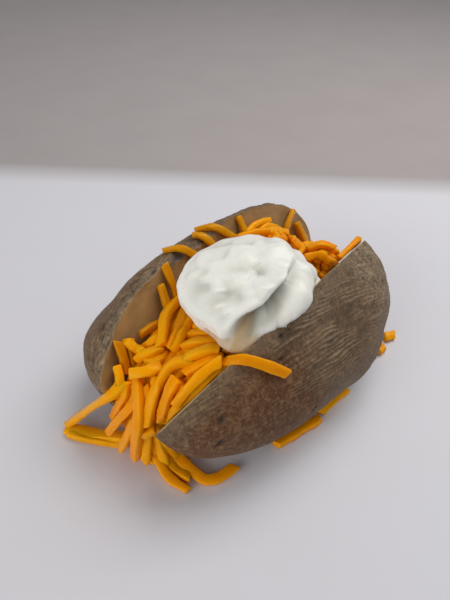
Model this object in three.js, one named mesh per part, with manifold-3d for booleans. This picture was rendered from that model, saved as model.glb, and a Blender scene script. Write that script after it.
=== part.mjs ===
// A loaded baked potato, in millimetres, +Z up. One potato is cut lengthwise and pressed open on its uncut
// underside. Shredded cheese fills the cut and spills down the front end, and a spoonful of sour cream lies
// across the heap and the right-hand rim. +X runs along the potato towards its far end.
import * as THREE from "three";
import { mergeVertices } from "three/addons/utils/BufferGeometryUtils.js";
import Module from "manifold-3d";

const wasm = await Module();
wasm.setup();

const CLEARANCE = 0.3;
const FINEST_DETAIL = 0.1; // smaller steps than this, where shreds cross, are evened out
const TIP = 0.9995; // the share of the way to a tip where the last ring of a body lies
const GOLDEN = 0.618034; // places this share apart, wrapped round, spread evenly
const rad = THREE.MathUtils.degToRad;

// The potato before it was cut: length along X, and half its width and height.
const POTATO = { length: 140, halfWidth: 38, halfHeight: 30.5 };
// The line that the halves open about, and the uncut strip of flesh that still joins them there.
const HINGE = new THREE.Vector3(-4.6, -6, 4.5);
const CUT_HEIGHTS = [11, 90]; // over the hinge line: the cut is free from here to here
const STRIP = { reach: 0.86, halfWidth: 9, halfHeight: 5.5 };
// Each half: how far it leans from upright, how blunt its two ends are (a power of 2 is an ellipse), and by
// what share its cut edge and its flank stand proud at the four lump stations.
const LUMPS = { stations: [-0.8, -0.3, 0.25, 0.75], width: 0.28 };
const LEFT = {
  side: 1, lean: rad(30), frontPower: 3.1, backPower: 2.6,
  crest: [-0.12, 0.02, 0.01, 0.04], flank: [0.24, -0.05, -0.08, -0.01],
};
const RIGHT = {
  side: -1, lean: rad(24.5), frontPower: 1.9, backPower: 2.65,
  crest: [-0.03, 0, 0.05, 0], flank: [0.01, 0.01, 0.11, 0.05],
};
const FACE_DISH = 1.2; // how far the cut flesh has sunk below its rim

// The cheese heap's core: mounds with a centre, three radii and the power of their length profile.
const MOUNDS = {
  inCut: { centre: [-7, -7, 20], radii: [57, 42, 25], power: 3.2 },
  ramp: { centre: [-30, -20, 30], radii: [33, 26, 23], power: 2 },
  cascade: { centre: [-55, -1, 0], radii: [18, 18, 39], power: 2.4 },
  foot: { centre: [-60, -8, 0], radii: [13, 14, 7], power: 2 },
};
const SHRED = { width: 4.4, thickness: 3.3, segments: 5 };
// How many shreds lie on a stretch of the heap, how far apart they reach across it, and how low they hang.
// They head one way at the right-hand face and turn by fan towards the left-hand one.
const FRONT_SHREDS = {
  count: 40, from: [-71, -14], across: [10, 19], lowest: 4, heading: Math.PI, fan: 0.7, seed: 16,
};
const BACK_SHREDS = {
  count: 15, from: [7, 46], across: [16, 12], lowest: 27, heading: -0.3, fan: 0.6, seed: 5,
};
// Each of them: its shortest length and lift off the core, and how much the draw adds to these and turns it.
const DRAPED = { length: [20, 16], lift: [0.3, 2.4], turn: 0.7, offCentre: 2, narrowEnd: 2.5 };
// Shreds that lie against a half: the station and the depth under the rim of one end, then of the other. With
// a depth below 0 the shred bends over the rim, and its end lies that far down the skin outside.
const LEFT_SHREDS = [
  [[-0.43, 5], [-0.45, 26]],
  [[-0.32, 2], [-0.35, 26]],
  [[-0.12, -9], [-0.1, 26]],
  [[0.13, -9], [0.1, 26]],
  [[0.2, -8], [0.22, 26]],
  [[0.37, 1], [0.33, 26]],
  [[0.87, 2], [0.62, 24]],
  [[0.87, 9], [0.68, 26]],
];
const RIGHT_SHREDS = [
  [[-0.42, -17.5], [-0.68, 13]],
  [[0.87, -1], [0.5, 14]],
];
// Shreds that stand out of the heap, from end to end: on the left-hand face, slid off the foot onto the floor,
// and fallen along the potato's right foot, where they lie by themselves.
const LYING = SHRED.thickness / 2;
const FACE_SHREDS = [
  [[-36, 10, 42], [-51, 14, 43]],
  [[-46, 12, 41], [-60, 15, 43]],
  [[-57, 14, 44], [-67, 8, 24]],
  [[-62, 10, 33], [-71, 6, 13]],
];
const FLOOR_SHREDS = [
  [[-62, 13, 18], [-86, 26, LYING]],
  [[-86.5, 25, LYING], [-72, -4, 4]],
  [[-66, -12, 5], [-72, -31, LYING]],
  [[-60, -16, 5], [-66, -34, LYING]],
  [[-71, -30.5, LYING], [-51, -37, LYING]],
];
const FALLEN_SHREDS = [
  [[-34, -45, LYING], [-11, -52, LYING]],
  [[-9, -49.5, LYING], [10, -53, LYING]],
  [[40, -52.5, LYING], [45, -54, LYING]],
  [[51, -51, LYING], [56, -54, LYING]],
];

// The sour cream: a spread-out lower spoonful and a lens on top of it, both seen from one centre.
const CREAM = {
  centre: [-16, -16, 60],
  farthest: 80,
  lens: { offset: [-5.5, 2.5, 2], radii: [26.5, 25.5, 10.5], power: 3, tilt: [rad(-8), rad(-9), 0] },
  skirt: { offset: [3, -5, -7], radii: [25.5, 24.5, 10.5], power: 2.4, tilt: [rad(20), rad(4), 0] },
};

// A seeded random draw from 0 to 1.
function randomSource(seed) {
  let state = seed;
  return () => {
    state = (state + 0x6d2b79f5) | 0;
    let t = Math.imul(state ^ (state >>> 15), 1 | state);
    t = (t + Math.imul(t ^ (t >>> 7), 61 | t)) ^ t;
    return ((t ^ (t >>> 14)) >>> 0) / 4294967296;
  };
}

// Closed geometry as a solid, whichever way round its faces were listed.
function toSolid(geometry) {
  geometry.deleteAttribute("normal");
  geometry.deleteAttribute("uv");
  const merged = mergeVertices(geometry, 1e-4);
  const vertProperties = merged.attributes.position.array;
  const triVerts = new Uint32Array(merged.index.array);
  const corner = (i) => new THREE.Vector3().fromArray(vertProperties, 3 * triVerts[i]);
  let volume = 0;
  for (let i = 0; i < triVerts.length; i += 3) {
    volume += corner(i).dot(corner(i + 1).cross(corner(i + 2)));
  }
  if (volume < 0) triVerts.reverse();
  return new wasm.Manifold(new wasm.Mesh({ numProp: 3, vertProperties, triVerts }));
}

// A solid skinned over rings of equally many points, with a flat cap on the first and the last ring.
function skinRings(rings) {
  const around = rings[0].length;
  const index = [];
  for (let r = 0; r + 1 < rings.length; r++) {
    for (let c = 0; c < around; c++) {
      const a = r * around + c;
      const b = r * around + ((c + 1) % around);
      index.push(a, b, a + around, b, b + around, a + around);
    }
  }
  const last = (rings.length - 1) * around;
  for (let c = 1; c + 1 < around; c++) {
    index.push(0, c + 1, c, last, last + c, last + c + 1);
  }
  const geometry = new THREE.BufferGeometry().setFromPoints(rings.flat());
  geometry.setIndex(index);
  return toSolid(geometry);
}

// A body with elliptic sections whose profile along X is a power curve. Power 2 makes an ellipsoid.
function moundSolid({ centre, radii, power }, grow = 0, rows = 14, around = 18) {
  const [rx, ry, rz] = radii.map((r) => r + grow);
  const rings = [];
  for (let i = 0; i <= rows; i++) {
    const u = -TIP * Math.cos((Math.PI * i) / rows);
    const share = Math.sqrt(1 - Math.abs(u) ** power);
    rings.push(
      Array.from({ length: around }, (_, j) => {
        const a = (2 * Math.PI * j) / around;
        return new THREE.Vector3(
          centre[0] + rx * u,
          centre[1] + ry * share * Math.cos(a),
          centre[2] + rz * share * Math.sin(a),
        );
      }),
    );
  }
  return skinRings(rings);
}

// Height of the heap's core above a point of the floor.
function heapHeight(x, y) {
  let height = 0;
  for (const { centre, radii, power } of Object.values(MOUNDS)) {
    const inside = 1 - Math.abs((x - centre[0]) / radii[0]) ** power - ((y - centre[1]) / radii[1]) ** 2;
    if (inside > 0) height = Math.max(height, centre[2] + radii[2] * Math.sqrt(inside));
  }
  return height;
}

// One plus the lumps' shares at station s, from -1 at the front tip to 1 at the far tip.
function lumpShare(s, shares) {
  return LUMPS.stations.reduce((sum, at, i) => sum + shares[i] * Math.exp(-(((s - at) / LUMPS.width) ** 2)), 1);
}

// How full the potato is at station s: 1 in the middle, 0 at the tips.
function fullness(half, s) {
  return Math.sqrt(1 - Math.abs(s) ** (s < 0 ? half.frontPower : half.backPower));
}

// Swings a point of the closed potato, given across and up from the hinge, out with its half.
function swing(half, x, across, up) {
  const c = Math.cos(half.lean);
  const s = Math.sin(half.lean);
  return new THREE.Vector3(
    HINGE.x + x,
    HINGE.y + half.side * (across * c + up * s),
    HINGE.z + up * c - across * s,
  );
}

// A point of a half's skin: angle runs from -90 degrees at the underside to 90 at the cut edge.
function skinPoint(half, s, angle, grow = 0) {
  const full = fullness(half, s);
  const bulge =
    1 +
    (lumpShare(s, half.crest) - 1) * Math.max(Math.sin(angle), 0) ** 2 +
    (lumpShare(s, half.flank) - 1) * Math.cos(angle) ** 2;
  const across = (POTATO.halfWidth * full * bulge + grow) * Math.cos(angle);
  const up = POTATO.halfHeight + (POTATO.halfHeight * full * bulge + grow) * Math.sin(angle);
  return swing(half, (POTATO.length / 2 + grow) * s, across - (Math.cos(angle) < 1e-6 ? grow : 0), up);
}

// One half of the potato: rings of skin from the underside to the rim, closed by the sunken cut face.
function potatoHalf(half, grow = 0, rows = 30, skinSteps = 16, faceSteps = 5) {
  const rings = [];
  for (let i = 0; i <= rows; i++) {
    const s = -TIP * Math.cos((Math.PI * i) / rows);
    const full = fullness(half, s);
    const ring = [];
    for (let j = 0; j <= skinSteps; j++) {
      ring.push(skinPoint(half, s, -Math.PI / 2 + (Math.PI * j) / skinSteps, grow));
    }
    const reach = POTATO.halfHeight * full * lumpShare(s, half.crest) + grow;
    const base = POTATO.halfHeight * full + grow;
    for (let j = 1; j < faceSteps; j++) {
      const w = 1 - (2 * j) / faceSteps;
      const up = POTATO.halfHeight + (w > 0 ? reach : base) * w;
      ring.push(swing(half, (POTATO.length / 2 + grow) * s, FACE_DISH * full * (1 - w ** 4) - grow, up));
    }
    rings.push(ring);
  }
  return skinRings(rings);
}

// The uncut strip: a lens-shaped bar that rises towards the tips with the underside of the skin.
function stripSolid(grow = 0, rows = 16, around = 16) {
  const rings = [];
  for (let i = 0; i <= rows; i++) {
    const u = -TIP * Math.cos((Math.PI * i) / rows);
    const share = Math.sqrt(1 - u ** 4);
    const s = u * STRIP.reach;
    const skin = POTATO.halfHeight * (1 - (fullness(LEFT, s) + fullness(RIGHT, s)) / 2);
    const middle = Math.max(skin, HINGE.z) + STRIP.halfHeight * share - 0.2;
    rings.push(
      Array.from({ length: around }, (_, j) => {
        const a = (2 * Math.PI * j) / around;
        return new THREE.Vector3(
          HINGE.x + (POTATO.length / 2 + grow) * s,
          HINGE.y + (STRIP.halfWidth * share + grow) * Math.cos(a),
          middle + (STRIP.halfHeight * share + grow) * Math.sin(a),
        );
      }),
    );
  }
  return skinRings(rings);
}

// The whole potato: both halves and the uncut strip between them.
function potatoSolid(grow = 0) {
  return potatoHalf(LEFT, grow).add(potatoHalf(RIGHT, grow)).add(stripSolid(grow));
}

// The free space between the two cut faces, above the uncut strip.
function cutSpace() {
  const onFace = (half, height) => {
    const across = height * Math.tan(half.lean) - CLEARANCE;
    return new THREE.Vector2(HINGE.y + half.side * across, HINGE.z + height);
  };
  const [low, high] = CUT_HEIGHTS;
  const outline = new THREE.Shape([onFace(LEFT, low), onFace(LEFT, high), onFace(RIGHT, high), onFace(RIGHT, low)]);
  const prism = new THREE.ExtrudeGeometry(outline, { depth: POTATO.length, bevelEnabled: false });
  const axes = new THREE.Matrix4().makeBasis(
    new THREE.Vector3(0, 1, 0),
    new THREE.Vector3(0, 0, 1),
    new THREE.Vector3(1, 0, 0),
  );
  prism.applyMatrix4(axes).translate(HINGE.x - POTATO.length / 2, 0, 0);
  return toSolid(prism);
}

// A shred: a strip of rectangular section along a curve through the points, lying flat to the given normals.
function shredSolid(points, normals, width = SHRED.width, thickness = SHRED.thickness) {
  const curve = new THREE.CatmullRomCurve3(points);
  const lean = new THREE.CatmullRomCurve3(normals);
  const rings = [];
  for (let i = 0; i <= SHRED.segments; i++) {
    const t = i / SHRED.segments;
    const at = curve.getPoint(t);
    const tangent = curve.getTangent(t);
    const across = new THREE.Vector3().crossVectors(lean.getPoint(t), tangent).normalize();
    const up = new THREE.Vector3().crossVectors(tangent, across);
    rings.push(
      [[-1, -1], [1, -1], [1, 1], [-1, 1]].map(([a, b]) =>
        at
          .clone()
          .addScaledVector(across, (a * width) / 2)
          .addScaledVector(up, (b * thickness) / 2),
      ),
    );
  }
  return skinRings(rings);
}

// The unit normal of the heap's core above a point of the floor.
function heapNormal(x, y) {
  const step = 1;
  const slopeX = (heapHeight(x + step, y) - heapHeight(x - step, y)) / (2 * step);
  const slopeY = (heapHeight(x, y + step) - heapHeight(x, y - step)) / (2 * step);
  return new THREE.Vector3(-slopeX, -slopeY, 1).normalize();
}

// A shred that runs over the heap from a start, in a heading on the floor plane, for a length.
function drapedShred(x, y, heading, length, lift, lowest) {
  const steps = 4;
  const points = [];
  const normals = [];
  const at = new THREE.Vector3(x, y, heapHeight(x, y));
  const dir = new THREE.Vector3(Math.cos(heading), Math.sin(heading), 0);
  for (let i = 0; i <= steps; i++) {
    const normal = heapNormal(at.x, at.y);
    points.push(at.clone().addScaledVector(normal, lift));
    normals.push(normal);
    const along = dir.clone().projectOnPlane(normal).normalize();
    at.addScaledVector(along, length / steps);
    at.z = Math.min(at.z, heapHeight(at.x, at.y));
    if (at.z < lowest && i > 1) break;
  }
  points.forEach((p) => (p.z = Math.max(p.z, SHRED.thickness / 2)));
  return shredSolid(points, normals);
}

// A draped shred that starts clear of the sour cream: its start slides along the heading until it does.
function clearShred(keepClear, x, y, heading, length, lift, lowest) {
  for (let slide = 0; slide < length; slide += 4) {
    const shred = drapedShred(
      x + slide * Math.cos(heading),
      y + slide * Math.sin(heading),
      heading,
      length - slide * 0.4,
      lift,
      lowest,
    );
    if (shred.intersect(keepClear).isEmpty()) return [shred];
  }
  return [];
}

// Shreds spread over a stretch of the heap by a golden-ratio rule.
function heapShreds(keepClear, { count, from, across, lowest, heading, fan, seed }) {
  const random = randomSource(seed);
  const draw = ([least, spread]) => least + spread * random();
  const shreds = [];
  for (let i = 0; i < count; i++) {
    const along = (i + 0.5) / count;
    const side = (i * GOLDEN) % 1;
    const x = THREE.MathUtils.lerp(...from, along);
    const reach = THREE.MathUtils.lerp(...across, Math.min(along * DRAPED.narrowEnd, 1));
    const y = HINGE.y + DRAPED.offCentre + reach * (2 * side - 1);
    const turn = heading + fan * side + DRAPED.turn * (random() - 0.5);
    const [length, lift] = [draw(DRAPED.length), draw(DRAPED.lift)];
    shreds.push(...clearShred(keepClear, x, y, turn, length, lift, lowest));
  }
  return shreds;
}

// A shred against the inside or the outside of a half, from one end to the other.
function shredOnHalf(half, [fromStation, fromDepth], [toStation, toDepth]) {
  const out = SHRED.thickness / 2 + CLEARANCE;
  const facing = (across, up) => swing(half, 0, across, up).sub(swing(half, 0, 0, 0));
  const points = [];
  const normals = [];
  for (const share of [0, 0.15, 0.3, 0.6, 1]) {
    const s = THREE.MathUtils.lerp(fromStation, toStation, share);
    const depth = THREE.MathUtils.lerp(fromDepth, toDepth, share);
    const rim = POTATO.halfHeight * (1 + fullness(half, s) * lumpShare(s, half.crest));
    if (depth < 0) {
      const angle = Math.PI / 2 + depth / POTATO.halfWidth;
      points.push(skinPoint(half, s, angle, out));
      normals.push(facing(Math.cos(angle), Math.sin(angle)));
    } else {
      points.push(swing(half, (POTATO.length / 2) * s, -out, rim - depth));
      normals.push(facing(-1, 0));
    }
  }
  return shredSolid(points, normals);
}

// A straight shred from end to end, lying flat to the normal.
function straightShred([from, to], normal) {
  const [start, end] = [new THREE.Vector3(...from), new THREE.Vector3(...to)];
  return shredSolid([start, start.clone().lerp(end, 0.5), end], Array(3).fill(normal));
}

// Of a solid in several bodies, the largest.
function largestBody(solid) {
  return solid.decompose().reduce((a, b) => (a.volume() > b.volume() ? a : b));
}

// The packed cheese under the shreds: what lies in the cut, and what has spilled out of its front end.
function heapCore(grow = 0) {
  const heaped = moundSolid(MOUNDS.inCut, grow, 18, 24).add(moundSolid(MOUNDS.ramp, grow));
  const inCut = heaped.intersect(cutSpace());
  const spilled = moundSolid(MOUNDS.cascade, grow).add(moundSolid(MOUNDS.foot, grow));
  return inCut.add(spilled);
}

// The distance from the cream's centre to a lens-shaped blob's surface in a direction.
function blobReach({ offset, radii, power, tilt }, direction) {
  const turn = new THREE.Matrix4().makeRotationFromEuler(new THREE.Euler(...tilt)).invert();
  const d = direction.clone().applyMatrix4(turn);
  const o = new THREE.Vector3(...offset).applyMatrix4(turn);
  const depth = (reach) => {
    const [a, b, c] = ["x", "y", "z"].map((k, i) => (d[k] * reach - o[k]) / radii[i]);
    return Math.hypot(a, b) ** power + Math.abs(c) ** 2 - 1;
  };
  let [low, high] = [0, CREAM.farthest];
  for (let i = 0; i < 30; i++) {
    const middle = (low + high) / 2;
    if (depth(middle) < 0) low = middle;
    else high = middle;
  }
  return low;
}

// The spoonful: from its centre, the farther of the lens and the skirt in each direction.
function creamSolid(rows = 20, around = 30) {
  const rings = [];
  for (let i = 0; i <= rows; i++) {
    const polar = 0.02 + ((Math.PI - 0.04) * i) / rows;
    rings.push(
      Array.from({ length: around }, (_, j) => {
        const a = (2 * Math.PI * j) / around;
        const direction = new THREE.Vector3(
          Math.sin(polar) * Math.cos(a),
          Math.sin(polar) * Math.sin(a),
          Math.cos(polar),
        );
        const reach = Math.max(blobReach(CREAM.lens, direction), blobReach(CREAM.skirt, direction));
        return direction.multiplyScalar(reach).add(new THREE.Vector3(...CREAM.centre));
      }),
    );
  }
  return skinRings(rings);
}

const skinBrown = new THREE.MeshStandardMaterial({ color: 0x7a6650, roughness: 0.7, metalness: 0 });
const cheddar = new THREE.MeshStandardMaterial({ color: 0xf09a10, roughness: 0.35, metalness: 0 });
const creamWhite = new THREE.MeshStandardMaterial({ color: 0xf0efe9, roughness: 0.3, metalness: 0 });

const food = new THREE.Group();

function addNode(name, solid, material) {
  const { vertProperties, triVerts } = solid.getMesh();
  const geometry = new THREE.BufferGeometry();
  geometry.setAttribute("position", new THREE.BufferAttribute(vertProperties, 3));
  geometry.setIndex(new THREE.BufferAttribute(triVerts, 1));
  const mesh = new THREE.Mesh(geometry, material);
  mesh.name = name;
  food.add(mesh);
}

const upward = new THREE.Vector3(0, 0, 1);
const offTheFace = new THREE.Vector3(-0.5, -0.8, 0.3).normalize();
const potato = potatoSolid().trimByPlane(upward.toArray(), 0);
const potatoWithGap = potatoSolid(CLEARANCE);
const core = heapCore();
const spoonful = creamSolid();
const cream = largestBody(spoonful.subtract(potatoWithGap).subtract(heapCore(CLEARANCE)));
const shreds = [
  ...heapShreds(spoonful, FRONT_SHREDS),
  ...heapShreds(spoonful, BACK_SHREDS),
  ...LEFT_SHREDS.map((ends) => shredOnHalf(LEFT, ...ends)),
  ...RIGHT_SHREDS.map((ends) => shredOnHalf(RIGHT, ...ends)),
  ...FACE_SHREDS.map((ends) => straightShred(ends, offTheFace)),
  ...FLOOR_SHREDS.map((ends) => straightShred(ends, upward)),
];
const pile = wasm.Manifold.union([core, ...shreds]).subtract(potatoWithGap).trimByPlane(upward.toArray(), 0);
const heap = largestBody(pile.simplify(FINEST_DETAIL));

addNode("potato", potato, skinBrown);
addNode("cheese_heap", heap, cheddar);
addNode("sour_cream", cream, creamWhite);
FALLEN_SHREDS.forEach((ends, i) => {
  addNode(`fallen_shred_${i + 1}`, straightShred(ends, upward).subtract(potatoWithGap), cheddar);
});

// The origin is the middle of the whole thing's footprint, on the surface that it stands on.
const middle = new THREE.Box3().setFromObject(food).getCenter(new THREE.Vector3());
food.children.forEach((mesh) => mesh.geometry.translate(-middle.x, -middle.y, 0));

export default food;
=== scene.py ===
"""A loaded baked potato: cut lengthwise, pressed open, filled with shredded cheddar, topped with sour cream.

Shapes are worked out in millimetres in the maker's own coordinates: +X runs along the potato to its far end,
the halves open about a line near the underside, and Z is up from what the potato lies on. They are then moved
onto the frame, whose potato gives the place of that line.
"""
from types import SimpleNamespace

import bpy
import numpy as np
from bpy.props import FloatProperty, FloatVectorProperty, IntProperty, PointerProperty
from mathutils import Matrix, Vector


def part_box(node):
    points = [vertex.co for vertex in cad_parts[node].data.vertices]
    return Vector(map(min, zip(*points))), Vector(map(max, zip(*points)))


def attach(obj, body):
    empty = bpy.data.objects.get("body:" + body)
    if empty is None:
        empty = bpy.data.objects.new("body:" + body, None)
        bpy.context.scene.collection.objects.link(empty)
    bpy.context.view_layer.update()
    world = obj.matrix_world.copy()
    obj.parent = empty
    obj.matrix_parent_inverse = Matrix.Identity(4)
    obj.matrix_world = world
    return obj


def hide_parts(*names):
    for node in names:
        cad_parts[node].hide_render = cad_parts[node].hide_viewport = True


bl_info = {
    "name": "Loaded Baked Potato",
    "version": (1, 0, 0),
    "blender": (4, 5, 0),
    "location": "3D Viewport > Sidebar > Baked Potato",
    "description": "Builds a split baked potato with shredded cheddar and sour cream",
    "category": "Add Mesh",
}

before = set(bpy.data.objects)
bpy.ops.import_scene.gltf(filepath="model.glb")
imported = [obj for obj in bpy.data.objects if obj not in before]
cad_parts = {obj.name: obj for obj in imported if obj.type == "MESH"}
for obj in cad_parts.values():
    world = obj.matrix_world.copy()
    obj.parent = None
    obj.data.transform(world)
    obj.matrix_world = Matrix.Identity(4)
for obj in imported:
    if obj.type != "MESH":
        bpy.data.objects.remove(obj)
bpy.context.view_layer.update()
MM = 0.001

# The potato before it was cut, in mm, and the line that its halves open about.
HALF_LENGTH, HALF_WIDTH, HALF_HEIGHT = 70.0, 38.0, 30.5
HINGE = np.array([-4.6, -6.0, 4.5])

# Stations run from -1 at the potato's front tip to 1 at its far tip. Its lumps are bell curves about four of
# them, and its cut faces have sunk in by the dish, in mm.
LUMP_STATIONS = (-0.8, -0.3, 0.25, 0.75)
LUMP_WIDTH = 0.28
FACE_DISH = 1.2

# Each half: its side, its lean from upright, how blunt its tips are, and what share its cut edge and its
# flank stand proud at the lump stations. The skin rolls over the cut edge by as much as roll says at each
# station, in mm, and peel is how strongly the edge of the skin shows. Eyes are (station, mm down the skin
# from the cut edge, length, depth).
LEFT = SimpleNamespace(
    side=1, lean=np.radians(30), front_power=3.1, back_power=2.6, seed=11,
    crest=(-0.12, 0.02, 0.01, 0.04), flank=(0.24, -0.05, -0.08, -0.01), peel=0.2,
    roll=((-1, 2.6), (-0.84, 2.8), (-0.74, 1.2), (-0.50, 1.2), (-0.42, 3.2), (-0.34, 3.6), (-0.22, 4.6),
          (-0.12, 4.6), (0, 3.4), (0.12, 3.0), (0.26, 1.0), (1, 0.8)),
    eyes=((-0.78, 9.2, 7.5, 1.3), (-0.838, 9.0, 4.0, 1.2), (-0.84, 4.2, 4.5, 0.9), (-0.95, 6.0, 4.0, 1.0),
          (-0.915, 13.5, 3.5, 0.8), (-0.20, -1, 9.0, 1.2), (-0.39, 1.0, 5.0, 1.0), (0.03, 24, 6.0, 1.2),
          (-0.45, 50, 5.0, 1.0), (0.45, 42, 4.5, 1.0), (0.72, 56, 4.0, 0.8), (-0.05, 70, 4.5, 0.8),
          (0.80, 17, 4.0, 0.9)),
)
RIGHT = SimpleNamespace(
    side=-1, lean=np.radians(24.5), front_power=1.9, back_power=2.65, seed=23,
    crest=(-0.03, 0.0, 0.05, 0.0), flank=(0.01, 0.01, 0.11, 0.05), peel=0.7,
    roll=((-1, 0.8), (1, 0.8)),
    eyes=((-0.31, 5, 3.0, 0.7), (-0.39, 11, 2.2, 0.6), (-0.78, 12, 4.0, 0.8), (-0.83, 19, 4.0, 0.8),
          (-0.30, 40, 4.0, 0.7), (0.30, 50, 4.0, 0.8), (0.62, 19, 3.4, 0.7), (0.85, 22, 3.0, 0.7),
          (0.05, 75, 4.0, 0.7), (-0.60, 55, 4.0, 0.7)),
)

# The uncut strip that joins them: the station it reaches to at each end, and half its width and height in mm.
STRIP_REACH, STRIP_HALF_WIDTH, STRIP_HALF_HEIGHT = 0.86, 9.0, 5.5

# The heap's mounds: centre, three radii and the power of the profile along the potato.
MOUNDS = (
    ((-7, -7, 20), (57, 42, 25), 3.2),
    ((-30, -20, 30), (33, 26, 23), 2.0),
    ((-55, -1, 0), (18, 18, 39), 2.4),
    ((-60, -8, 0), (13, 14, 7), 2.0),
)

# Smaller mounds that the shreds also settle on: in the cut beyond the cream against the left-hand face, at
# the right rim and at the heap's far end. The near lump only fills the heap under the cream's near edge.
BACK_MOUNDS = (
    ((27, 12, 36), (18, 9, 12), 2.0),
    ((34, -12, 36), (13, 11, 11.5), 2.0),
    ((42, -11, 31), (10.5, 11, 11), 2.0),
)
NEAR_LUMP = ((-34, -14, 46), (10.5, 12, 9), 2.0)

# Sour cream: a spread-out lower spoonful and a lens on it, both seen from one centre. Each has its place
# from there, three radii, the power of its outline and its tilt about X and about Y.
CREAM_CENTRE = np.array([-16.0, -16.0, 60.0])
CREAM_LENS = ((-4.2, 3.1, 2.0), (26.0, 25.2, 10.0), 4.0, (np.radians(-8), np.radians(-9)))
CREAM_SKIRT = ((3.0, -5.0, -7.0), (25.5, 24.5, 10.5), 2.4, (np.radians(20), np.radians(4)))
SPOON_TURN = np.radians(-49.6)


def linear(colour):
    """An sRGB hex colour such as "#c08040" as linear red, green, blue and 1."""
    share = np.array([int(colour[k : k + 2], 16) for k in (1, 3, 5)]) / 255
    return (*np.where(share <= 0.04045, share / 12.92, ((share + 0.055) / 1.055) ** 2.4), 1.0)


# ---------------------------------------------------------------- sizes and colours that a user would change


class PotatoSettings(bpy.types.PropertyGroup):
    """The two halves of the potato."""

    wrinkle_spacing: FloatProperty(
        name="Wrinkle spacing", description="From one ridge of the shrunken skin to the next",
        default=1.5 * MM, min=0.8 * MM, max=4 * MM, unit="LENGTH",
    )
    wrinkle_height: FloatProperty(
        name="Wrinkle height", description="How far the ridges of the skin stand up",
        default=0.58 * MM, min=0.0, max=1.5 * MM, unit="LENGTH",
    )
    skin_colour: FloatVectorProperty(
        name="Skin", description="Colour of the baked skin",
        default=linear("#6c563f")[:3], min=0.0, max=1.0, subtype="COLOR",
    )
    flesh_colour: FloatVectorProperty(
        name="Flesh", description="Colour of the cut flesh",
        default=linear("#9b7e54")[:3], min=0.0, max=1.0, subtype="COLOR",
    )


class CheeseSettings(bpy.types.PropertyGroup):
    """The shredded cheddar."""

    shred_width: FloatProperty(
        name="Shred width", description="Width of one shred",
        default=4.4 * MM, min=2 * MM, max=7 * MM, unit="LENGTH",
    )
    shred_thickness: FloatProperty(
        name="Shred thickness", description="Thickness of one shred",
        default=3.3 * MM, min=1 * MM, max=6 * MM, unit="LENGTH",
    )
    scattered_count: IntProperty(
        name="Scattered shreds", description="How many shreds lie among those placed by hand",
        default=120, min=0, max=200,
    )
    colour: FloatVectorProperty(
        name="Cheddar", description="Colour of the cheese",
        default=linear("#fda707")[:3], min=0.0, max=1.0, subtype="COLOR",
    )


class CreamSettings(bpy.types.PropertyGroup):
    """The spoonful of sour cream."""

    fold_depth: FloatProperty(
        name="Fold depth", description="How deep the spoon's fold is",
        default=8.5 * MM, min=0.0, max=9 * MM, unit="LENGTH",
    )
    colour: FloatVectorProperty(
        name="Sour cream", description="Colour of the cream",
        default=linear("#f3f2ea")[:3], min=0.0, max=1.0, subtype="COLOR",
    )


class StageSettings(bpy.types.PropertyGroup):
    """Floor, lights and camera."""

    key_power: FloatProperty(
        name="Key light", description="Power of the soft light above and behind",
        default=3.3, min=0.0, max=60.0, unit="POWER",
    )
    bounce_power: FloatProperty(
        name="Bounce light", description="Power of the low soft light at the heap's front",
        default=5.2, min=0.0, max=60.0, unit="POWER",
    )
    fill_strength: FloatProperty(
        name="Fill light", description="Brightness of the room's light",
        default=0.32, min=0.0, max=3.0,
    )
    lens: FloatProperty(
        name="Lens", description="Focal length of the camera",
        default=29.13, min=10.0, max=200.0, unit="CAMERA",
    )


# ---------------------------------------------------------------- numbers on whole arrays


def unit(vectors):
    """Vectors scaled to length 1."""
    return vectors / np.maximum(np.linalg.norm(vectors, axis=-1, keepdims=True), 1e-9)


def ease(low, high, value):
    """0 below low, 1 above high, and a smooth cubic rise between."""
    share = np.clip((value - low) / (high - low), 0, 1)
    return share * share * (3 - 2 * share)


def soft_noise(points, cell, seed=0):
    """A random field from -1 to 1: a random value at each corner of a lattice of cubes, cell mm wide,
    blended between corners along a curve that starts and ends flat."""
    scaled = np.asarray(points, float) / cell
    corner = np.floor(scaled).astype(np.int64)
    share = scaled - corner
    blend = share**3 * (share * (share * 6 - 15) + 10)
    total = np.zeros(scaled.shape[:-1])
    for step in np.ndindex(2, 2, 2):
        at = corner + np.array(step)
        key = (at[..., 0] * 73856093) ^ (at[..., 1] * 19349663) ^ (at[..., 2] * 83492791) ^ (seed * 26544357)
        key = (key ^ (key >> 13)) & 0xFFFFFFFF
        key = (key * 1274126177) & 0xFFFFFFFF
        value = ((key ^ (key >> 16)) & 0xFFFF) / 32767.5 - 1
        total += value * np.prod(np.where(np.array(step, bool), blend, 1 - blend), axis=-1)
    return total


def hump(x, y, at, size):
    """A bell curve of two coordinates: 1 at a place, and as wide as size each way."""
    return np.exp(-(((x - at[0]) / size[0]) ** 2) - ((y - at[1]) / size[1]) ** 2)


def layered_noise(points, cell, layers, seed=0):
    """Noise fields added up, each half as wide and half as strong as the one before."""
    return sum(soft_noise(points, cell / 2**k, seed + 7 * k) / 2**k for k in range(layers))


# ---------------------------------------------------------------- the potato's form


def lump_share(station, shares):
    """One plus a bell curve of each lump's share around its station."""
    return 1 + sum(k * np.exp(-(((station - at) / LUMP_WIDTH) ** 2)) for at, k in zip(LUMP_STATIONS, shares))


def fullness(half, station):
    """The root of one minus a power of the distance from the middle: 1 in the middle, 0 at the tips."""
    power = np.where(station < 0, half.front_power, half.back_power)
    return np.sqrt(np.maximum(1 - np.abs(station) ** power, 0))


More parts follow.
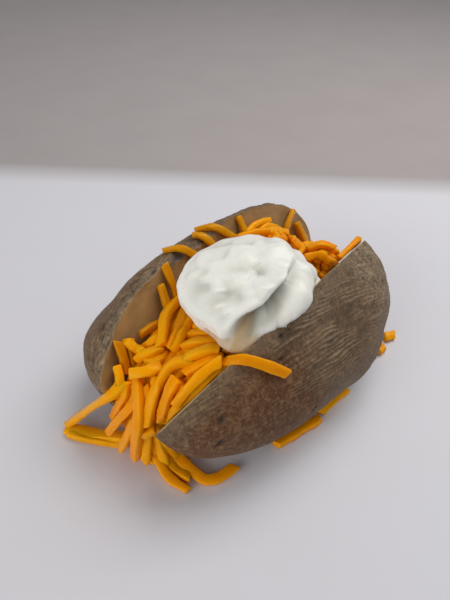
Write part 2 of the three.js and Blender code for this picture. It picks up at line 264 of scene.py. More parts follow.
def swing(half, x, across, up):
    """Turns a point of the closed potato out about the hinge line by the half's lean."""
    c, s = np.cos(half.lean), np.sin(half.lean)
    x, across, up = np.broadcast_arrays(x, across, up)
    return HINGE + np.stack([x, half.side * (across * c + up * s), up * c - across * s], -1)


def unswing(half, points):
    """The reverse of swing: how far out from the cut plane, and how high above the closed potato's bottom,
    points of the swung half were."""
    c, s = np.cos(half.lean), np.sin(half.lean)
    y, z = half.side * (points[..., 1] - HINGE[1]), points[..., 2] - HINGE[2]
    return y * c - z * s, y * s + z * c


def skin_bulge(half, station, angle):
    """How far the skin stands out, as a share of the plain ellipse: one, and the crest's lumps by the
    squared sine of the angle above the widest line, and the flank's by the squared cosine about it."""
    return (
        1
        + (lump_share(station, half.crest) - 1) * np.maximum(np.sin(angle), 0) ** 2
        + (lump_share(station, half.flank) - 1) * np.cos(angle) ** 2
    )


def skin_point(half, station, angle, out=0.0):
    """A point of the swung skin, out mm off it: in each section an ellipse, as full as its station, that
    bulges with the lumps."""
    full = fullness(half, station)
    bulge = skin_bulge(half, station, angle)
    across = (HALF_WIDTH * full * bulge + out) * np.cos(angle)
    up = HALF_HEIGHT + (HALF_HEIGHT * full * bulge + out) * np.sin(angle)
    return swing(half, HALF_LENGTH * station, across, up)


def rim_height(half, station):
    """Height of the cut edge over the closed potato's bottom: half the height, and the fullness with the
    crest's lumps over that."""
    return HALF_HEIGHT * (1 + fullness(half, station) * lump_share(station, half.crest))


def hinge_in_frame():
    """Where the hinge line's middle lies in the frame: midway along the potato, and the left half's reach in
    from the potato's left side."""
    low, high = (np.array(corner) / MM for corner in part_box("potato"))
    angles = np.radians(np.linspace(-90, 90, 361))
    station, angle = np.meshgrid(np.linspace(-1, 1, 400), angles, indexing="ij")
    reach = (skin_point(LEFT, station, angle)[..., 1] - HINGE[1]).max()
    return np.array([(low[0] + high[0]) / 2, high[1] - reach, HINGE[2]])


SHIFT = hinge_in_frame() - HINGE


# ---------------------------------------------------------------- meshes from arrays


def grid_faces(rows, columns):
    """Quads between the rows of a grid whose last column joins its first."""
    row, column = np.meshgrid(np.arange(rows - 1), np.arange(columns), indexing="ij")
    beside = (column + 1) % columns
    a, b = row * columns + column, row * columns + beside
    return np.stack([a, b, b + columns, a + columns], -1).reshape(-1, 4)


def end_faces(rows, columns):
    """Triangles that close both ends of the grid on two pole points, which follow the grid's own points."""
    column = np.arange(columns)
    beside = (column + 1) % columns
    last = (rows - 1) * columns
    near, far = np.full(columns, rows * columns), np.full(columns, rows * columns + 1)
    return np.concatenate([
        np.stack([near, beside, column], -1),
        np.stack([far, last + column, last + beside], -1),
    ])


def closed_grid(points):
    """Points, quads and triangles of a closed skin over rings: the first and last ring shrink to poles."""
    rings = points[1:-1]
    rows, columns = rings.shape[:2]
    poles = np.stack([points[0].mean(0), points[-1].mean(0)])
    return np.concatenate([rings.reshape(-1, 3), poles]), grid_faces(rows, columns), end_faces(rows, columns)


def grid_values(values):
    """A value on a grid of rings, in the order of closed_grid's points."""
    return np.concatenate([values[1:-1].ravel(), [values[0].mean(), values[-1].mean()]])


def signed_volume(points, triangles):
    """Six times the volume enclosed, below 0 where the faces look inwards."""
    a, b, c = (points[triangles[:, k]] for k in range(3))
    return np.einsum("ij,ij->", a, np.cross(b, c))


def make_piece(name, points, quads, triangles, materials, face_material=None, attributes=None):
    """Puts points in mm and faces into a mesh at its place in the frame, with its faces looking outwards.
    face_material gives each face the number of its material, and attributes are values for each point."""
    every = np.concatenate([quads[:, [0, 1, 2]], quads[:, [0, 2, 3]], triangles])
    if signed_volume(points - points.mean(0), every) < 0:
        quads, triangles = quads[:, ::-1], triangles[:, ::-1]
    mesh = bpy.data.meshes.new(name)
    placed = (points + SHIFT) * MM
    mesh.vertices.add(len(placed))
    mesh.vertices.foreach_set("co", placed.astype(np.float32).ravel())
    sizes = np.concatenate([np.full(len(quads), 4), np.full(len(triangles), 3)])
    corners = np.concatenate([quads.ravel(), triangles.ravel()])
    mesh.loops.add(len(corners))
    mesh.loops.foreach_set("vertex_index", corners.astype(np.int32))
    mesh.polygons.add(len(sizes))
    mesh.polygons.foreach_set("loop_start", np.concatenate([[0], np.cumsum(sizes)[:-1]]).astype(np.int32))
    if face_material is not None:
        mesh.polygons.foreach_set("material_index", face_material.astype(np.int32))
    mesh.update(calc_edges=True)
    mesh.validate()
    mesh.polygons.foreach_set("use_smooth", np.ones(len(mesh.polygons), bool))
    for key, values in (attributes or {}).items():
        mesh.attributes.new(key, "FLOAT", "POINT").data.foreach_set("value", values.astype(np.float32))
    for material in materials:
        mesh.materials.append(material)
    piece = bpy.data.objects.new(name, mesh)
    bpy.context.scene.collection.objects.link(piece)
    return piece


def ring_piece(name, points, materials, values, second=False):
    """A closed skin over rings, with its values at each point. second tells which columns of faces take the
    second material."""
    shell, quads, ends = closed_grid(points)
    columns = np.broadcast_to(second, points.shape[1])
    face_material = np.tile(columns, len(points) - 1)
    values = {key: grid_values(value) for key, value in values.items()}
    return make_piece(name, shell, quads, ends, materials, face_material, values)


def join_shells(shells):
    """Several closed skins as one set of points, quads and triangles."""
    firsts = np.cumsum([0] + [len(points) for points, _, _ in shells[:-1]])
    points = np.concatenate([points for points, _, _ in shells])
    quads = np.concatenate([quads + first for (_, quads, _), first in zip(shells, firsts)])
    triangles = np.concatenate([triangles + first for (_, _, triangles), first in zip(shells, firsts)])
    return points, quads, triangles


def belongs(piece, slot, *nodes):
    """The piece moves with the food and stands for those solids. slot is not used."""
    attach(piece, "root")
    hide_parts(*nodes)


def outward_normals(points, middle):
    """Normals of a grid of closed rings, from the steps along and around it, turned away from middle."""
    along = np.gradient(points, axis=0)
    around = np.roll(points, -1, 1) - np.roll(points, 1, 1)
    normal = unit(np.cross(along, around))
    return normal * np.sign(np.einsum("...i,...i->...", normal, points - middle).sum())


# ---------------------------------------------------------------- materials


def add_node(material, kind, inputs=None, **settings):
    """Adds a node, sets it up, and gives its inputs their values or links them to other nodes' outputs."""
    tree = material.node_tree
    made = tree.nodes.new(kind)
    for name, value in settings.items():
        setattr(made, name, value)
    for socket, value in (inputs or {}).items():
        if isinstance(value, bpy.types.NodeSocket):
            tree.links.new(value, made.inputs[socket])
        else:
            made.inputs[socket].default_value = value
    return made


def empty_material(name):
    """A material with an empty node tree."""
    material = bpy.data.materials.new(name)
    material.use_nodes = True
    material.node_tree.nodes.clear()
    return material


def cloudy_patterns(material, *grains):
    """The place in mm, and cloudy noise of it, one pattern for each grain: the width of its patches in mm,
    how many finer layers it has, and how strong each layer is beside the one before."""
    place = add_node(material, "ShaderNodeTexCoord").outputs["Object"]
    settings = {"Vector": place, "Scale": (1 / MM,) * 3}
    where = add_node(material, "ShaderNodeMapping", settings).outputs["Vector"]
    return [where] + [
        add_node(
            material, "ShaderNodeTexNoise",
            {"Vector": where, "Scale": 1 / width, "Detail": layers, "Roughness": strength},
        ).outputs["Fac"]
        for width, layers, strength in grains
    ]


def toned(colour, share):
    """A colour times a share, or times a share for each of red, green and blue."""
    return (*(np.array(colour) * share), 1.0)


# Sockets of the node that mixes two colours.
MIX_SHARE, MIX_FIRST, MIX_SECOND, MIX_RESULT = 0, 6, 7, 2


def lay_tints(material, base, *tints):
    """Lays tints over a base colour in turn. A tint is as strong as its source says: nothing at low, its full
    strength at high, in proportion between. A source is a pattern, or the name of a value of the mesh."""
    for source, low, high, strength, tint in tints:
        if isinstance(source, str):
            source = add_node(material, "ShaderNodeAttribute", attribute_name=source).outputs["Fac"]
        amount = add_node(
            material, "ShaderNodeMapRange",
            {"Value": source, "From Min": low, "From Max": high, "To Min": 0.0, "To Max": strength},
        ).outputs["Result"]
        inputs = {MIX_SHARE: amount, MIX_FIRST: base, MIX_SECOND: tint}
        base = add_node(material, "ShaderNodeMix", inputs, data_type="RGBA").outputs[MIX_RESULT]
    return base


def food_finish(material, base, sheen, relief, settings):
    """Joins up a food's shader. Its roughness goes with a pattern: sheen gives the pattern, two levels of it
    and the roughness at each. So does the relief that is too fine for the mesh: relief gives the pattern,
    the strength and the height in mm."""
    pattern, low, high, at_low, at_high = sheen
    roughness = add_node(
        material, "ShaderNodeMapRange",
        {"Value": pattern, "From Min": low, "From Max": high, "To Min": at_low, "To Max": at_high},
    )
    pattern, strength, height = relief
    bump = add_node(
        material, "ShaderNodeBump", {"Height": pattern, "Strength": strength, "Distance": height * MM}
    )
    inputs = {"Base Color": base, "Roughness": roughness.outputs["Result"], "Normal": bump.outputs["Normal"]}
    shader = add_node(material, "ShaderNodeBsdfPrincipled", {**inputs, **settings})
    add_node(material, "ShaderNodeOutputMaterial", {"Surface": shader.outputs["BSDF"]})
    return material


def baked_skin(colour):
    """Potato skin after an hour in the oven: papery, dull to satin, taupe brown and finely speckled, with
    flecks of dust, a painted highlight on the crests of its wrinkles, painted shade in their furrows, and dark
    eyes."""
    m = empty_material("baked_potato_skin")
    _, patches, blotches, specks = cloudy_patterns(m, (11.0, 3.0, 0.55), (3.2, 3.0, 0.6), (1.3, 4.0, 0.7))
    dust = add_node(m, "ShaderNodeAttribute", attribute_name="dusty").outputs["Fac"]
    flecks = add_node(m, "ShaderNodeMapRange", {"Value": specks, "From Min": 0.40, "From Max": 0.56})
    dusty = add_node(m, "ShaderNodeMath", {0: dust, 1: flecks.outputs["Result"]}, operation="MULTIPLY")
    base = lay_tints(
        m, toned(colour, 0.78),
        (patches, 0.3, 0.7, 1.0, toned(colour, 1.24)),
        # Redder where the skin has browned more.
        ("russet", 0, 1, 1, linear("#5f391a")),
        # Paler blotches, and pale and dark specks, as in any russet skin.
        (blotches, 0.48, 0.66, 0.40, linear("#8e6f4d")),
        (specks, 0.52, 0.70, 0.42, linear("#b2946c")),
        (specks, 0.46, 0.30, 0.70, linear("#362515")),
        # Wrinkles and pimples: a painted highlight on their crests, and painted shade in the furrows.
        ("crease", 0.10, 0.55, 0.50, linear("#b3a085")),
        ("crease", -0.04, -0.40, 0.58, linear("#33261b")),
        # Earth dust in flecks.
        (dusty.outputs["Value"], 0, 1, 1, linear("#ab9c7e")),
        ("eye", 0.12, 0.75, 0.74, linear("#2c2422")),
        # The skin's own cut edge.
        ("peel", 0, 1, 1, linear("#c2a878")),
    )
    settings = {"Specular IOR Level": 0.35}
    return food_finish(m, base, (patches, 0.3, 0.7, 0.52, 0.70), (specks, 0.6, 0.3), settings)


def baked_flesh(colour):
    """Cooked potato flesh, cut with a knife: waxy, moist and slightly see-through, smooth with a faint mealy
    grain, browner near the skin."""
    m = empty_material("baked_potato_flesh")
    _, patches, grain = cloudy_patterns(m, (8.0, 3.0, 0.5), (0.8, 3.0, 0.65))
    base = lay_tints(
        m, toned(colour, 0.84),
        (patches, 0.3, 0.7, 1.0, toned(colour, 1.30)),
        (grain, 0.4, 0.75, 0.3, linear("#b88c50")),
        ("peel", 0, 1, 1, linear("#b28a4e")),
    )
    settings = {
        "IOR": 1.42,
        "Subsurface Weight": 0.35, "Subsurface Radius": (1.0, 0.55, 0.22), "Subsurface Scale": 2.5 * MM,
    }
    return food_finish(m, base, (grain, 0.3, 0.7, 0.34, 0.50), (grain, 0.35, 0.3), settings)


def grated_cheddar(colour):
    """Mild annatto-coloured cheddar, coarsely grated and half melted: deep orange-yellow, light spreads in it,
    a slight film of butterfat tints its shine yellow, and the edges of the shreds carry a painted highlight."""
    m = empty_material("grated_cheddar")
    _, patches, grain = cloudy_patterns(m, (4.0, 2.0, 0.5), (0.9, 3.0, 0.6))
    base = lay_tints(
        m, toned(colour, (0.94, 0.74, 0.6)),
        ("tone", 0, 1, 1, toned(colour, (1.0, 1.10, 1.3))),
        (patches, 0.35, 0.7, 0.5, toned(colour, 1.0)),
        # A painted highlight along the long edges of the shreds, painted shade of a deeper orange in the
        # heap's crevices, and a painted olive shade on the shreds against the left-hand face and the one
        # draped over the right rim.
        ("edge", 0.45, 0.85, 0.35, linear("#ffb114")),
        ("crevice_shade", 0, 1, 1, linear("#b4510a")),
        ("olive_shade", 0, 1, 1, linear("#a0700c")),
    )
    settings = {
        "IOR": 1.45, "Specular IOR Level": 0.42, "Specular Tint": linear("#ffce59"),
        "Subsurface Weight": 0.4, "Subsurface Radius": (1.0, 0.45, 0.06), "Subsurface Scale": 2.0 * MM,
    }
    return food_finish(m, base, (grain, 0.35, 0.7, 0.18, 0.32), (grain, 0.3, 0.3), settings)


def cultured_cream(colour):
    """Thick cultured cream: warm white, smooth and moist, with light scattering deep inside it, and painted
    shade, greyer, in its hollows. Where it lies as a film it takes on what lies under it, with painted shade
    as well: grey over the skin in the fold's valley, and beige over the cheese, which also stands for light
    thrown up from the cheese."""
    m = empty_material("sour_cream")
    _, clots = cloudy_patterns(m, (1.6, 3.0, 0.55))
    # The film's tint: grey, and beige where cheese lies under it, which is partly a painted reflection of
    # light thrown up from the cheese.
    under = lay_tints(m, linear("#8d8773"), ("cheese_beneath_and_bounce", 0, 1, 1, linear("#c2a473")))
    base = lay_tints(
        m, toned(colour, 1.0),
        # Painted shade, greyer, in the hollows; then the film's tint, which also paints the shade of the
        # fold's valley.
        ("sunk", 0, 1, 1, toned(colour, (0.66, 0.66, 0.63))),
        ("film_and_shade", 0, 1, 1, under),
    )
    settings = {
        "IOR": 1.4,
        "Subsurface Weight": 0.45, "Subsurface Radius": (1.0, 0.85, 0.6), "Subsurface Scale": 1.8 * MM,
    }
    return food_finish(m, base, (clots, 0.35, 0.7, 0.26, 0.38), (clots, 0.16, 0.5), settings)


def white_paper(away):
    """Matt white paper, greyer from 160 mm behind the food."""
    m = empty_material("white_paper")
    where, fibres = cloudy_patterns(m, (40.0, 3.0, 0.5))
    behind = add_node(m, "ShaderNodeVectorMath", {0: where, 1: tuple(away)}, operation="DOT_PRODUCT")
    base = lay_tints(
        m, linear("#dddce2"),
        (behind.outputs["Value"], 160.0, 185.0, 1.0, linear("#aaa2a2")),
        (fibres, 0.3, 0.7, 0.08, linear("#cfcac8")),
    )
    shader = add_node(m, "ShaderNodeBsdfPrincipled", {"Base Color": base, "Roughness": 0.75})
    add_node(m, "ShaderNodeOutputMaterial", {"Surface": shader.outputs["BSDF"]})
    return m


# ---------------------------------------------------------------- potato


def even_stations(half, rows):
    """Stations spaced evenly along the half's outline: the outline's length is added up over fine steps,
    and the stations are read off at equal shares of it."""
    fine = -np.cos(np.linspace(0, np.pi, 4000))
    reach = 0.5 * (HALF_WIDTH + HALF_HEIGHT) * fullness(half, fine)
    length = np.concatenate([[0], np.cumsum(np.hypot(HALF_LENGTH * np.diff(fine), np.diff(reach)))])
    return np.interp(np.linspace(0, length[-1], rows), length, fine)


def eye_field(half, station, below_rim):
    """Depth and darkness of the eyes: each is a bell-shaped dimple, with a curved brow of the same kind on
    its upper side."""
    depth, dark = 0.0, 0.0
    for at, place, length, deep in half.eyes:
        along = HALF_LENGTH * (station - at)
        down = below_rim - place + 0.10 * along**2 / length
        dimple = hump(along, down, (0, 0), (0.42 * length, 0.34 * length))
        brow = hump(along, down, (0, -0.40 * length), (0.62 * length, 0.18 * length))
        depth = depth - deep * dimple + 0.6 * deep * brow
        dark = np.maximum(dark, hump(along, down, (0, -0.04 * length), (0.34 * length, 0.31 * length)))
    return depth, dark


# The wrinkles run down from the rim towards the far tip at this angle.
WRINKLE_SLOPE = np.radians(15)


def skin_relief(half, closed, station, below_rim, settings):
    """Height of the skin's own relief in mm, how far up a ridge (above 0) or down a furrow (below 0) a
    point is, and how dark its eyes are. The height is a sum of broad dents, wrinkles, pimples and eyes. The
    wrinkles are a cosine of the distance across their slope, bent by one noise and broken off where another
    is low."""
    dents = 0.6 * soft_noise(closed, 15, half.seed) + 0.32 * soft_noise(closed, 7, half.seed + 1)
    x = closed[..., 0]
    along = x * np.cos(WRINKLE_SLOPE) + below_rim * np.sin(WRINKLE_SLOPE)
    down = below_rim * np.cos(WRINKLE_SLOPE) - x * np.sin(WRINKLE_SLOPE)
    flat = np.stack([along / 15, down / 8, np.full_like(x, half.seed)], -1)
    bend = 0.9 * soft_noise(flat, 1, 3) + 0.30 * soft_noise(flat * 2.3, 1, 4)
    bend = bend + 0.12 * soft_noise(flat * 6, 1, 6)
    spacing = settings.wrinkle_spacing / MM
    wave = 0.5 + 0.5 * np.cos(2 * np.pi * (down / spacing + bend))
    finer = 0.5 + 0.5 * np.cos(2 * np.pi * (down / (0.47 * spacing) + 2.1 * bend))
    stretched = np.stack([along / 9, down / 1.9, np.full_like(x, half.seed + 9)], -1)
    kept = ease(-0.65, 0.10, soft_noise(stretched, 1, 5))
    crease = wave**1.5 * kept + 0.15 * finer - 0.45

    # They are deep in a band under the rim, along the middle of the potato, and faint everywhere else.
    patch = soft_noise(closed, 18, half.seed + 2)
    band = ease(2, 7, below_rim) * ease(42, 26, below_rim)
    stretch = ease(-0.60, -0.30, station) * ease(0.66, 0.36, station)
    strength = np.maximum(band * stretch * (0.75 + 0.35 * patch), 0.22 + 0.16 * patch)
    wrinkles = settings.wrinkle_height / MM * strength * crease

    # Pimples grow towards the far tip, and on the left half near the rim at the front.
    rough = 0.35 + 1.1 * ease(0.25, 0.50, station) * ease(34, 18, below_rim)
    if half is LEFT:
        rough = rough + 0.9 * ease(16, 8, below_rim) * ease(0.2, -0.1, station)
    fine = 0.17 * soft_noise(closed, 2.4, half.seed + 3) + 0.10 * soft_noise(closed, 1.2, half.seed + 4)
    pimples = rough * fine
    depth, dark = eye_field(half, station, below_rim)
    # The second value sets the painted highlight on crests and pimple tops and the painted shade in furrows.
    return dents + wrinkles + pimples + depth, strength * crease + 1.6 * pimples, dark


# Rings of a half from tip to tip, and points of each ring on the skin, the rolled edge and the cut face.
HALF_RINGS, SKIN_POINTS, LIP_POINTS, FACE_POINTS = 318, 208, 14, 74


def half_outline(half, station):
    """How far out from the cut plane and how high each point of a half's rings lies. A ring runs up the
    skin from the underside, rolls over the cut edge on a quarter circle, and comes back down the cut face,
    which has sunk in by a power curve of 4."""
    full = fullness(half, station)
    roll_at, roll_by = np.array(half.roll).T
    roll = np.interp(station, roll_at, roll_by) * np.clip(2.5 * full, 0, 1)
    line = np.stack([HALF_LENGTH * station, 0 * station, 0 * station], -1)
    roll = roll * (1 + 0.28 * soft_noise(line, 6, half.seed) + 0.24 * soft_noise(line, 2.6, half.seed + 8))

    last = np.arccos(np.clip(roll / np.maximum(HALF_WIDTH * full, 1e-6), 0, 0.5))
    angle = -np.pi / 2 + (last + np.pi / 2) * np.linspace(0, 1, SKIN_POINTS)[None]
    bulge = skin_bulge(half, station, angle)
    skin_across = HALF_WIDTH * full * bulge * np.cos(angle)
    skin_up = HALF_HEIGHT + HALF_HEIGHT * full * bulge * np.sin(angle)

    turn = np.linspace(0, np.pi / 2, LIP_POINTS + 1)[None, 1:]
    lip_across = skin_across[:, -1:] * (1 - np.sin(turn))
    lip_up = skin_up[:, -1:] - roll * (1 - np.cos(turn))

    rim, base = lip_up[:, -1:], HALF_HEIGHT * (1 - full)
    share = (np.arange(1, FACE_POINTS + 1) / (FACE_POINTS + 1))[None] ** 1.25
    face_up = rim + (base - rim) * share
    reach = np.maximum(np.where(face_up > HALF_HEIGHT, rim - HALF_HEIGHT, HALF_HEIGHT * full), 1e-6)
    face_across = FACE_DISH * full * (1 - np.clip(np.abs(face_up - HALF_HEIGHT) / reach, 0, 1) ** 4)
    across = np.concatenate([skin_across, lip_across, face_across], 1)
    return across, np.concatenate([skin_up, lip_up, face_up], 1)


def half_piece(name, half, settings, skin, flesh):
    """One half of the potato: its outline swung open, with the skin's relief or the flesh's mealy grain
    along its normals, none of it at the tips and at the edge between the two."""
    station = even_stations(half, HALF_RINGS)[:, None]
    across, up = half_outline(half, station)
    stations = np.broadcast_to(station, across.shape)
    closed = np.stack([HALF_LENGTH * stations, half.side * across, up], -1)
    points = swing(half, HALF_LENGTH * stations, across, up)
    normals = outward_normals(points, points.mean((0, 1)))

    steps = np.linalg.norm(np.diff(points, axis=1), axis=-1)
    walked = np.concatenate([np.zeros((HALF_RINGS, 1)), np.cumsum(steps, 1)], 1)
    below_rim = walked[:, [SKIN_POINTS + LIP_POINTS // 2]] - walked
    past_skin = walked - walked[:, [SKIN_POINTS + LIP_POINTS - 1]]
    column = np.arange(across.shape[1])
    on_skin = np.broadcast_to(column < SKIN_POINTS + LIP_POINTS, across.shape)

    relief, crease, eye = skin_relief(half, closed, stations, below_rim, settings)
    near_tip = ease(0.0, 0.22, fullness(half, station))
    mealy = 0.10 * soft_noise(closed, 2.2, half.seed + 5) + 0.25 * soft_noise(closed, 9, half.seed + 6)
    bumps = np.where(on_skin, relief, mealy) * ease(0.0, 1.2, np.abs(past_skin))
    points = points + normals * (bumps * near_tip)[..., None]
    points[..., 2] = np.maximum(points[..., 2], 0)

    # The right half is browner at the front and dusty towards the far tip; the left one is browner low down
    # and dusty in patches under the rim.
    patches = 0.25 * soft_noise(closed, 14, half.seed + 7)
    if half is RIGHT:
        russet = 0.95 * ease(-0.16, -0.55, stations + patches) * ease(0, 12, below_rim)
        dusty = 0.38 * ease(0.36, 0.75, stations + patches) * ease(45, 25, below_rim)
    else:
        russet = 0.12 + 0.25 * ease(40, 60, below_rim)
        dusty = 0.26 * ease(6, 1.5, below_rim + 12 * patches) * ease(-0.2, -0.36, stations)
    peel = np.where(on_skin, ease(1.1, 0.4, -past_skin), ease(2.2, 0.5, past_skin)) * near_tip
    # crease carries the painted highlight on the crests and the painted shade in the furrows.
    values = {
        "crease": np.where(on_skin, crease, 0), "eye": np.where(on_skin, eye, 0),
        "russet": np.clip(russet, 0, 1), "dusty": dusty, "peel": half.peel * peel,
    }
    return ring_piece(name, points, [skin, flesh], values, column >= SKIN_POINTS + LIP_POINTS - 1)


def joined_base_piece(name, skin, flesh, rows=150, columns=60):
    """The uncut strip that still joins the halves: rings of an ellipse that thins out towards both ends by a
    power curve of 4 and rises with the potato's underside, skin below and flesh above."""
    along = -np.cos(np.linspace(0, np.pi, rows))[:, None]
    share = np.sqrt(np.maximum(1 - along**4, 0))
    station = along * STRIP_REACH
    underside = HALF_HEIGHT * (1 - (fullness(LEFT, station) + fullness(RIGHT, station)) / 2)
    middle = np.maximum(underside, HINGE[2]) + STRIP_HALF_HEIGHT * share - 0.2
    around = np.linspace(0, 2 * np.pi, columns, endpoint=False)[None]
    points = np.stack(np.broadcast_arrays(
        HINGE[0] + HALF_LENGTH * station,
        HINGE[1] + STRIP_HALF_WIDTH * share * np.cos(around),
        middle + STRIP_HALF_HEIGHT * share * np.sin(around),
    ), -1)
    normals = outward_normals(points, points.mean((0, 1)))
    points = points + normals * (0.35 * share * layered_noise(points, 5, 3, 41))[..., None]
    nothing = np.zeros(points.shape[:2])
    values = {"crease": nothing, "eye": nothing, "russet": nothing + 0.2, "dusty": nothing, "peel": nothing}
    return ring_piece(name, points, [skin, flesh], values, np.sin(around[0] + np.pi / columns) > -0.1)


class AddPotato(bpy.types.Operator):
    """Add the two halves of the baked potato and the strip that joins them"""

    bl_idname = "baked_potato.add_potato"
    bl_label = "Add Potato"

    def execute(self, context):
        settings = context.scene.baked_potato_skin
        skin = baked_skin(settings.skin_colour)
        flesh = baked_flesh(settings.flesh_colour)
        pieces = [
            half_piece("potato_left_half", LEFT, settings, skin, flesh),
            half_piece("potato_right_half", RIGHT, settings, skin, flesh),
            joined_base_piece("potato_joined_base", skin, flesh),
        ]
        for piece in pieces:
            belongs(piece, "potato", "potato")
        return {"FINISHED"}


# ---------------------------------------------------------------- cheese

# Shreds against a half: station and depth under the rim of one end, then of the other, and the share of the
# usual width. Below 0, the end lies that far down the skin outside.
LEFT_SHREDS = (
    ((-0.41, 6), (-0.46, 24), 0.80), ((-0.32, 1), (-0.37, 24), 0.70), ((-0.22, -7), (-0.02, 14), 0.82),
    ((0.0, -4), (0.12, 16), 0.90), ((0.07, -7), (0.30, 14), 0.82), ((0.36, 1), (0.33, 20), 0.72),
    ((0.90, 0.5), (0.66, 20), 0.9), ((0.86, 9), (0.90, 24), 1.0), ((-0.80, 4.5), (-0.845, 16), 0.95),
    ((-0.745, 9), (-0.79, 18), 1.0), ((-0.67, 12), (-0.50, 18), 0.95),
)
RIGHT_SHREDS = (((-0.42, -17.5), (-0.68, 13), 1.12), ((0.83, 2.2), (0.56, 11), 0.85))

# Shreds on the floor in front of the heap, point by point.
FLOOR_SHREDS = (
    ((-67.5, 5.5, 33.5), (-70.8, 5.2, 33), (-73.8, 7, 31), (-76.4, 10.9, 26), (-78.4, 17, 17), (-81, 22.5, 9),
     (-85.8, 27, 2.4)),
    ((-86.3, 26, 1.9), (-79.9, 14, 2.6), (-72, -0.5, 6)),
    ((-86.1, 24, 1.7), (-81, 13, 1.7), (-74.6, 1.2, 2)),
    ((-70, -8, 8), (-73, -20, 1.8), (-72, -31, 1.7)),
    ((-67, -9, 9), (-69, -19, 2), (-68, -28, 1.7)),
    ((-64, -10, 12), (-65, -18, 3), (-65, -27, 1.8), (-64.5, -33, 1.7), (-60, -36.5, 1.7), (-52.5, -38, 1.7)),
)
# The width of each as a share of the usual one. The first three lie twisted and run into one another.
FLOOR_WIDTHS = (1.4, 1.2, 1.2, 1.05, 1.05, 1.05)

# Shreds that show on the front of the heap, from the top down.
FRONT_SHREDS = (
    ((-27, 15, 43), (-32, 13, 45), (-40, 10, 45), (-46.5, 4.5, 44.5), (-51.5, 0.5, 42)),
    ((-29, 9, 44), (-35, 5, 45.5), (-43, 1, 45), (-50, -2, 43.5)),
    ((-31, 4, 45), (-36.5, -0.5, 47), (-44.5, -4, 47.5), (-50, -6, 45.5)),
    ((-46.5, 6, 41.5), (-50.5, 7.5, 40.5), (-54, 10, 37)),
    ((-58.5, 13.5, 43.5), (-56.5, 9.5, 41), (-55.5, 3.5, 40.5)),
    ((-58, 7, 39), (-56.5, 3, 41.5), (-51.5, 1, 41)),
    ((-59.5, 0.5, 41), (-56, -1, 41.5), (-50, 0.5, 41)),
    ((-66, 2, 41), (-63, -2.5, 43), (-57.5, -4.5, 42.5)),
    ((-52, -15, 49), (-56.5, -10, 47.5), (-61, -8.5, 42), (-66, -9, 36), (-71, -10.5, 26)),
    ((-43, -21, 52.5), (-46, -18.5, 53), (-50.5, -15, 51.5), (-53.5, -11.5, 47.5)),
    ((-45, -23.5, 51), (-47.5, -21, 51.5), (-52, -18.5, 49.5), (-56, -15.5, 46)),
    ((-36, -16, 52), (-40, -12.5, 52), (-41.5, -6, 49), (-44.5, -2, 45.5)),
    ((-40, -19, 52), (-42.5, -16, 52), (-45.5, -11.5, 51), (-48, -7, 47)),
    ((-47, -24.5, 51), (-50.5, -23.5, 51), (-55, -22, 48.5), (-60, -20.5, 44), (-63, -19, 39)),
    ((-48, -27, 50), (-51.5, -26, 49), (-56.5, -25, 46.5), (-61, -23, 41.5), (-64.5, -20, 35),
     (-65.5, -15, 24)),
    ((-59, -15, 46), (-63, -15, 42.5), (-66, -14.5, 35.5), (-67.5, -13.5, 28)),
    ((-58, -17, 44), (-61.5, -16.5, 39.5), (-64, -14, 29)),
    ((-64, 1, 39.5), (-66.5, -2, 38.5), (-69.5, -5.5, 34.5), (-73, -8, 28), (-75.5, -8, 17.5),
     (-76.5, -6.5, 4)),
    ((-63.5, 9.5, 35.5), (-66, 7, 34), (-68.5, 4.5, 30), (-70.5, 2.5, 24)),
    ((-68, -5, 34), (-70.5, -3.5, 32), (-75, 0.5, 24), (-78, 7, 10)),
    ((-66, 3, 33), (-68, 2, 32), (-71, 4, 26), (-74, 9, 14)),
    ((-73, -7, 27), (-74.5, -5.5, 24), (-77, -3.5, 16), (-78.5, 0, 5)),
    ((-74, -9.5, 21.5), (-70, -13, 24)),
    ((-72, -9.5, 21.5), (-73.5, -10.5, 13), (-74.5, -10.5, 4)),
    ((-64, -3.5, 37.5), (-66, -7, 33), (-70, -8.5, 23)),
    ((-60, -5, 39), (-62, -6, 38), (-65, -7, 33), (-68.5, -6.5, 27)),
    ((-63.5, -1, 37), (-67.5, 0.5, 32), (-70.5, 0.5, 24)),
    ((-56, -6.5, 40), (-61.5, -7.5, 36), (-66.5, -9, 28.5)),
)

# Shreds that show at the far end of the heap, beyond the sour cream.
BACK_SHREDS = (
    ((42, 9, 38), (39, 4, 42), (34, -4, 45), (32, -12, 44)),
    ((30, -14, 47), (36, -12, 48), (42, -14, 44)),
    ((28, -17, 46.5), (33, -16, 48), (39, -17, 46)),
    ((31, -10, 46.5), (36, -13.5, 48.5), (40, -18, 46.5)),
    ((25, -12, 47), (30, -16, 48), (32, -22, 46)),
    ((38, -8, 43), (43, -13, 43), (46, -18, 41)),
    ((20, 18, 50), (28, 17.5, 49.5), (36, 15.5, 46.5)),
    ((24, 15.5, 49), (33, 15.5, 48.5), (41, 12.5, 42)),
    ((14, 17, 50), (22, 14, 50), (29, 11, 48)),
    ((26, 11, 47), (34, 12, 46), (42, 9, 41)),
    ((20, 3, 48), (27, 6, 48), (34, 5, 45)),
    ((44, -6, 38), (49, -6, 32), (51, -5, 24), (50.5, -4, 15)),
    ((42, -12, 39), (47, -12, 33), (50, -10, 25), (49, -8, 17)),
    ((43, 2, 38), (48.5, 2, 32), (51, 1, 23), (50, 0, 14)),
    ((41, 8, 36), (46, 8, 30), (49, 6, 23), (48.5, 5, 16)),
    ((40, -17, 39), (45, -16, 34), (48, -14, 27), (47.5, -12, 20)),
    ((46, -9, 33), (49.5, -3, 27), (50.5, 3, 20)),
)

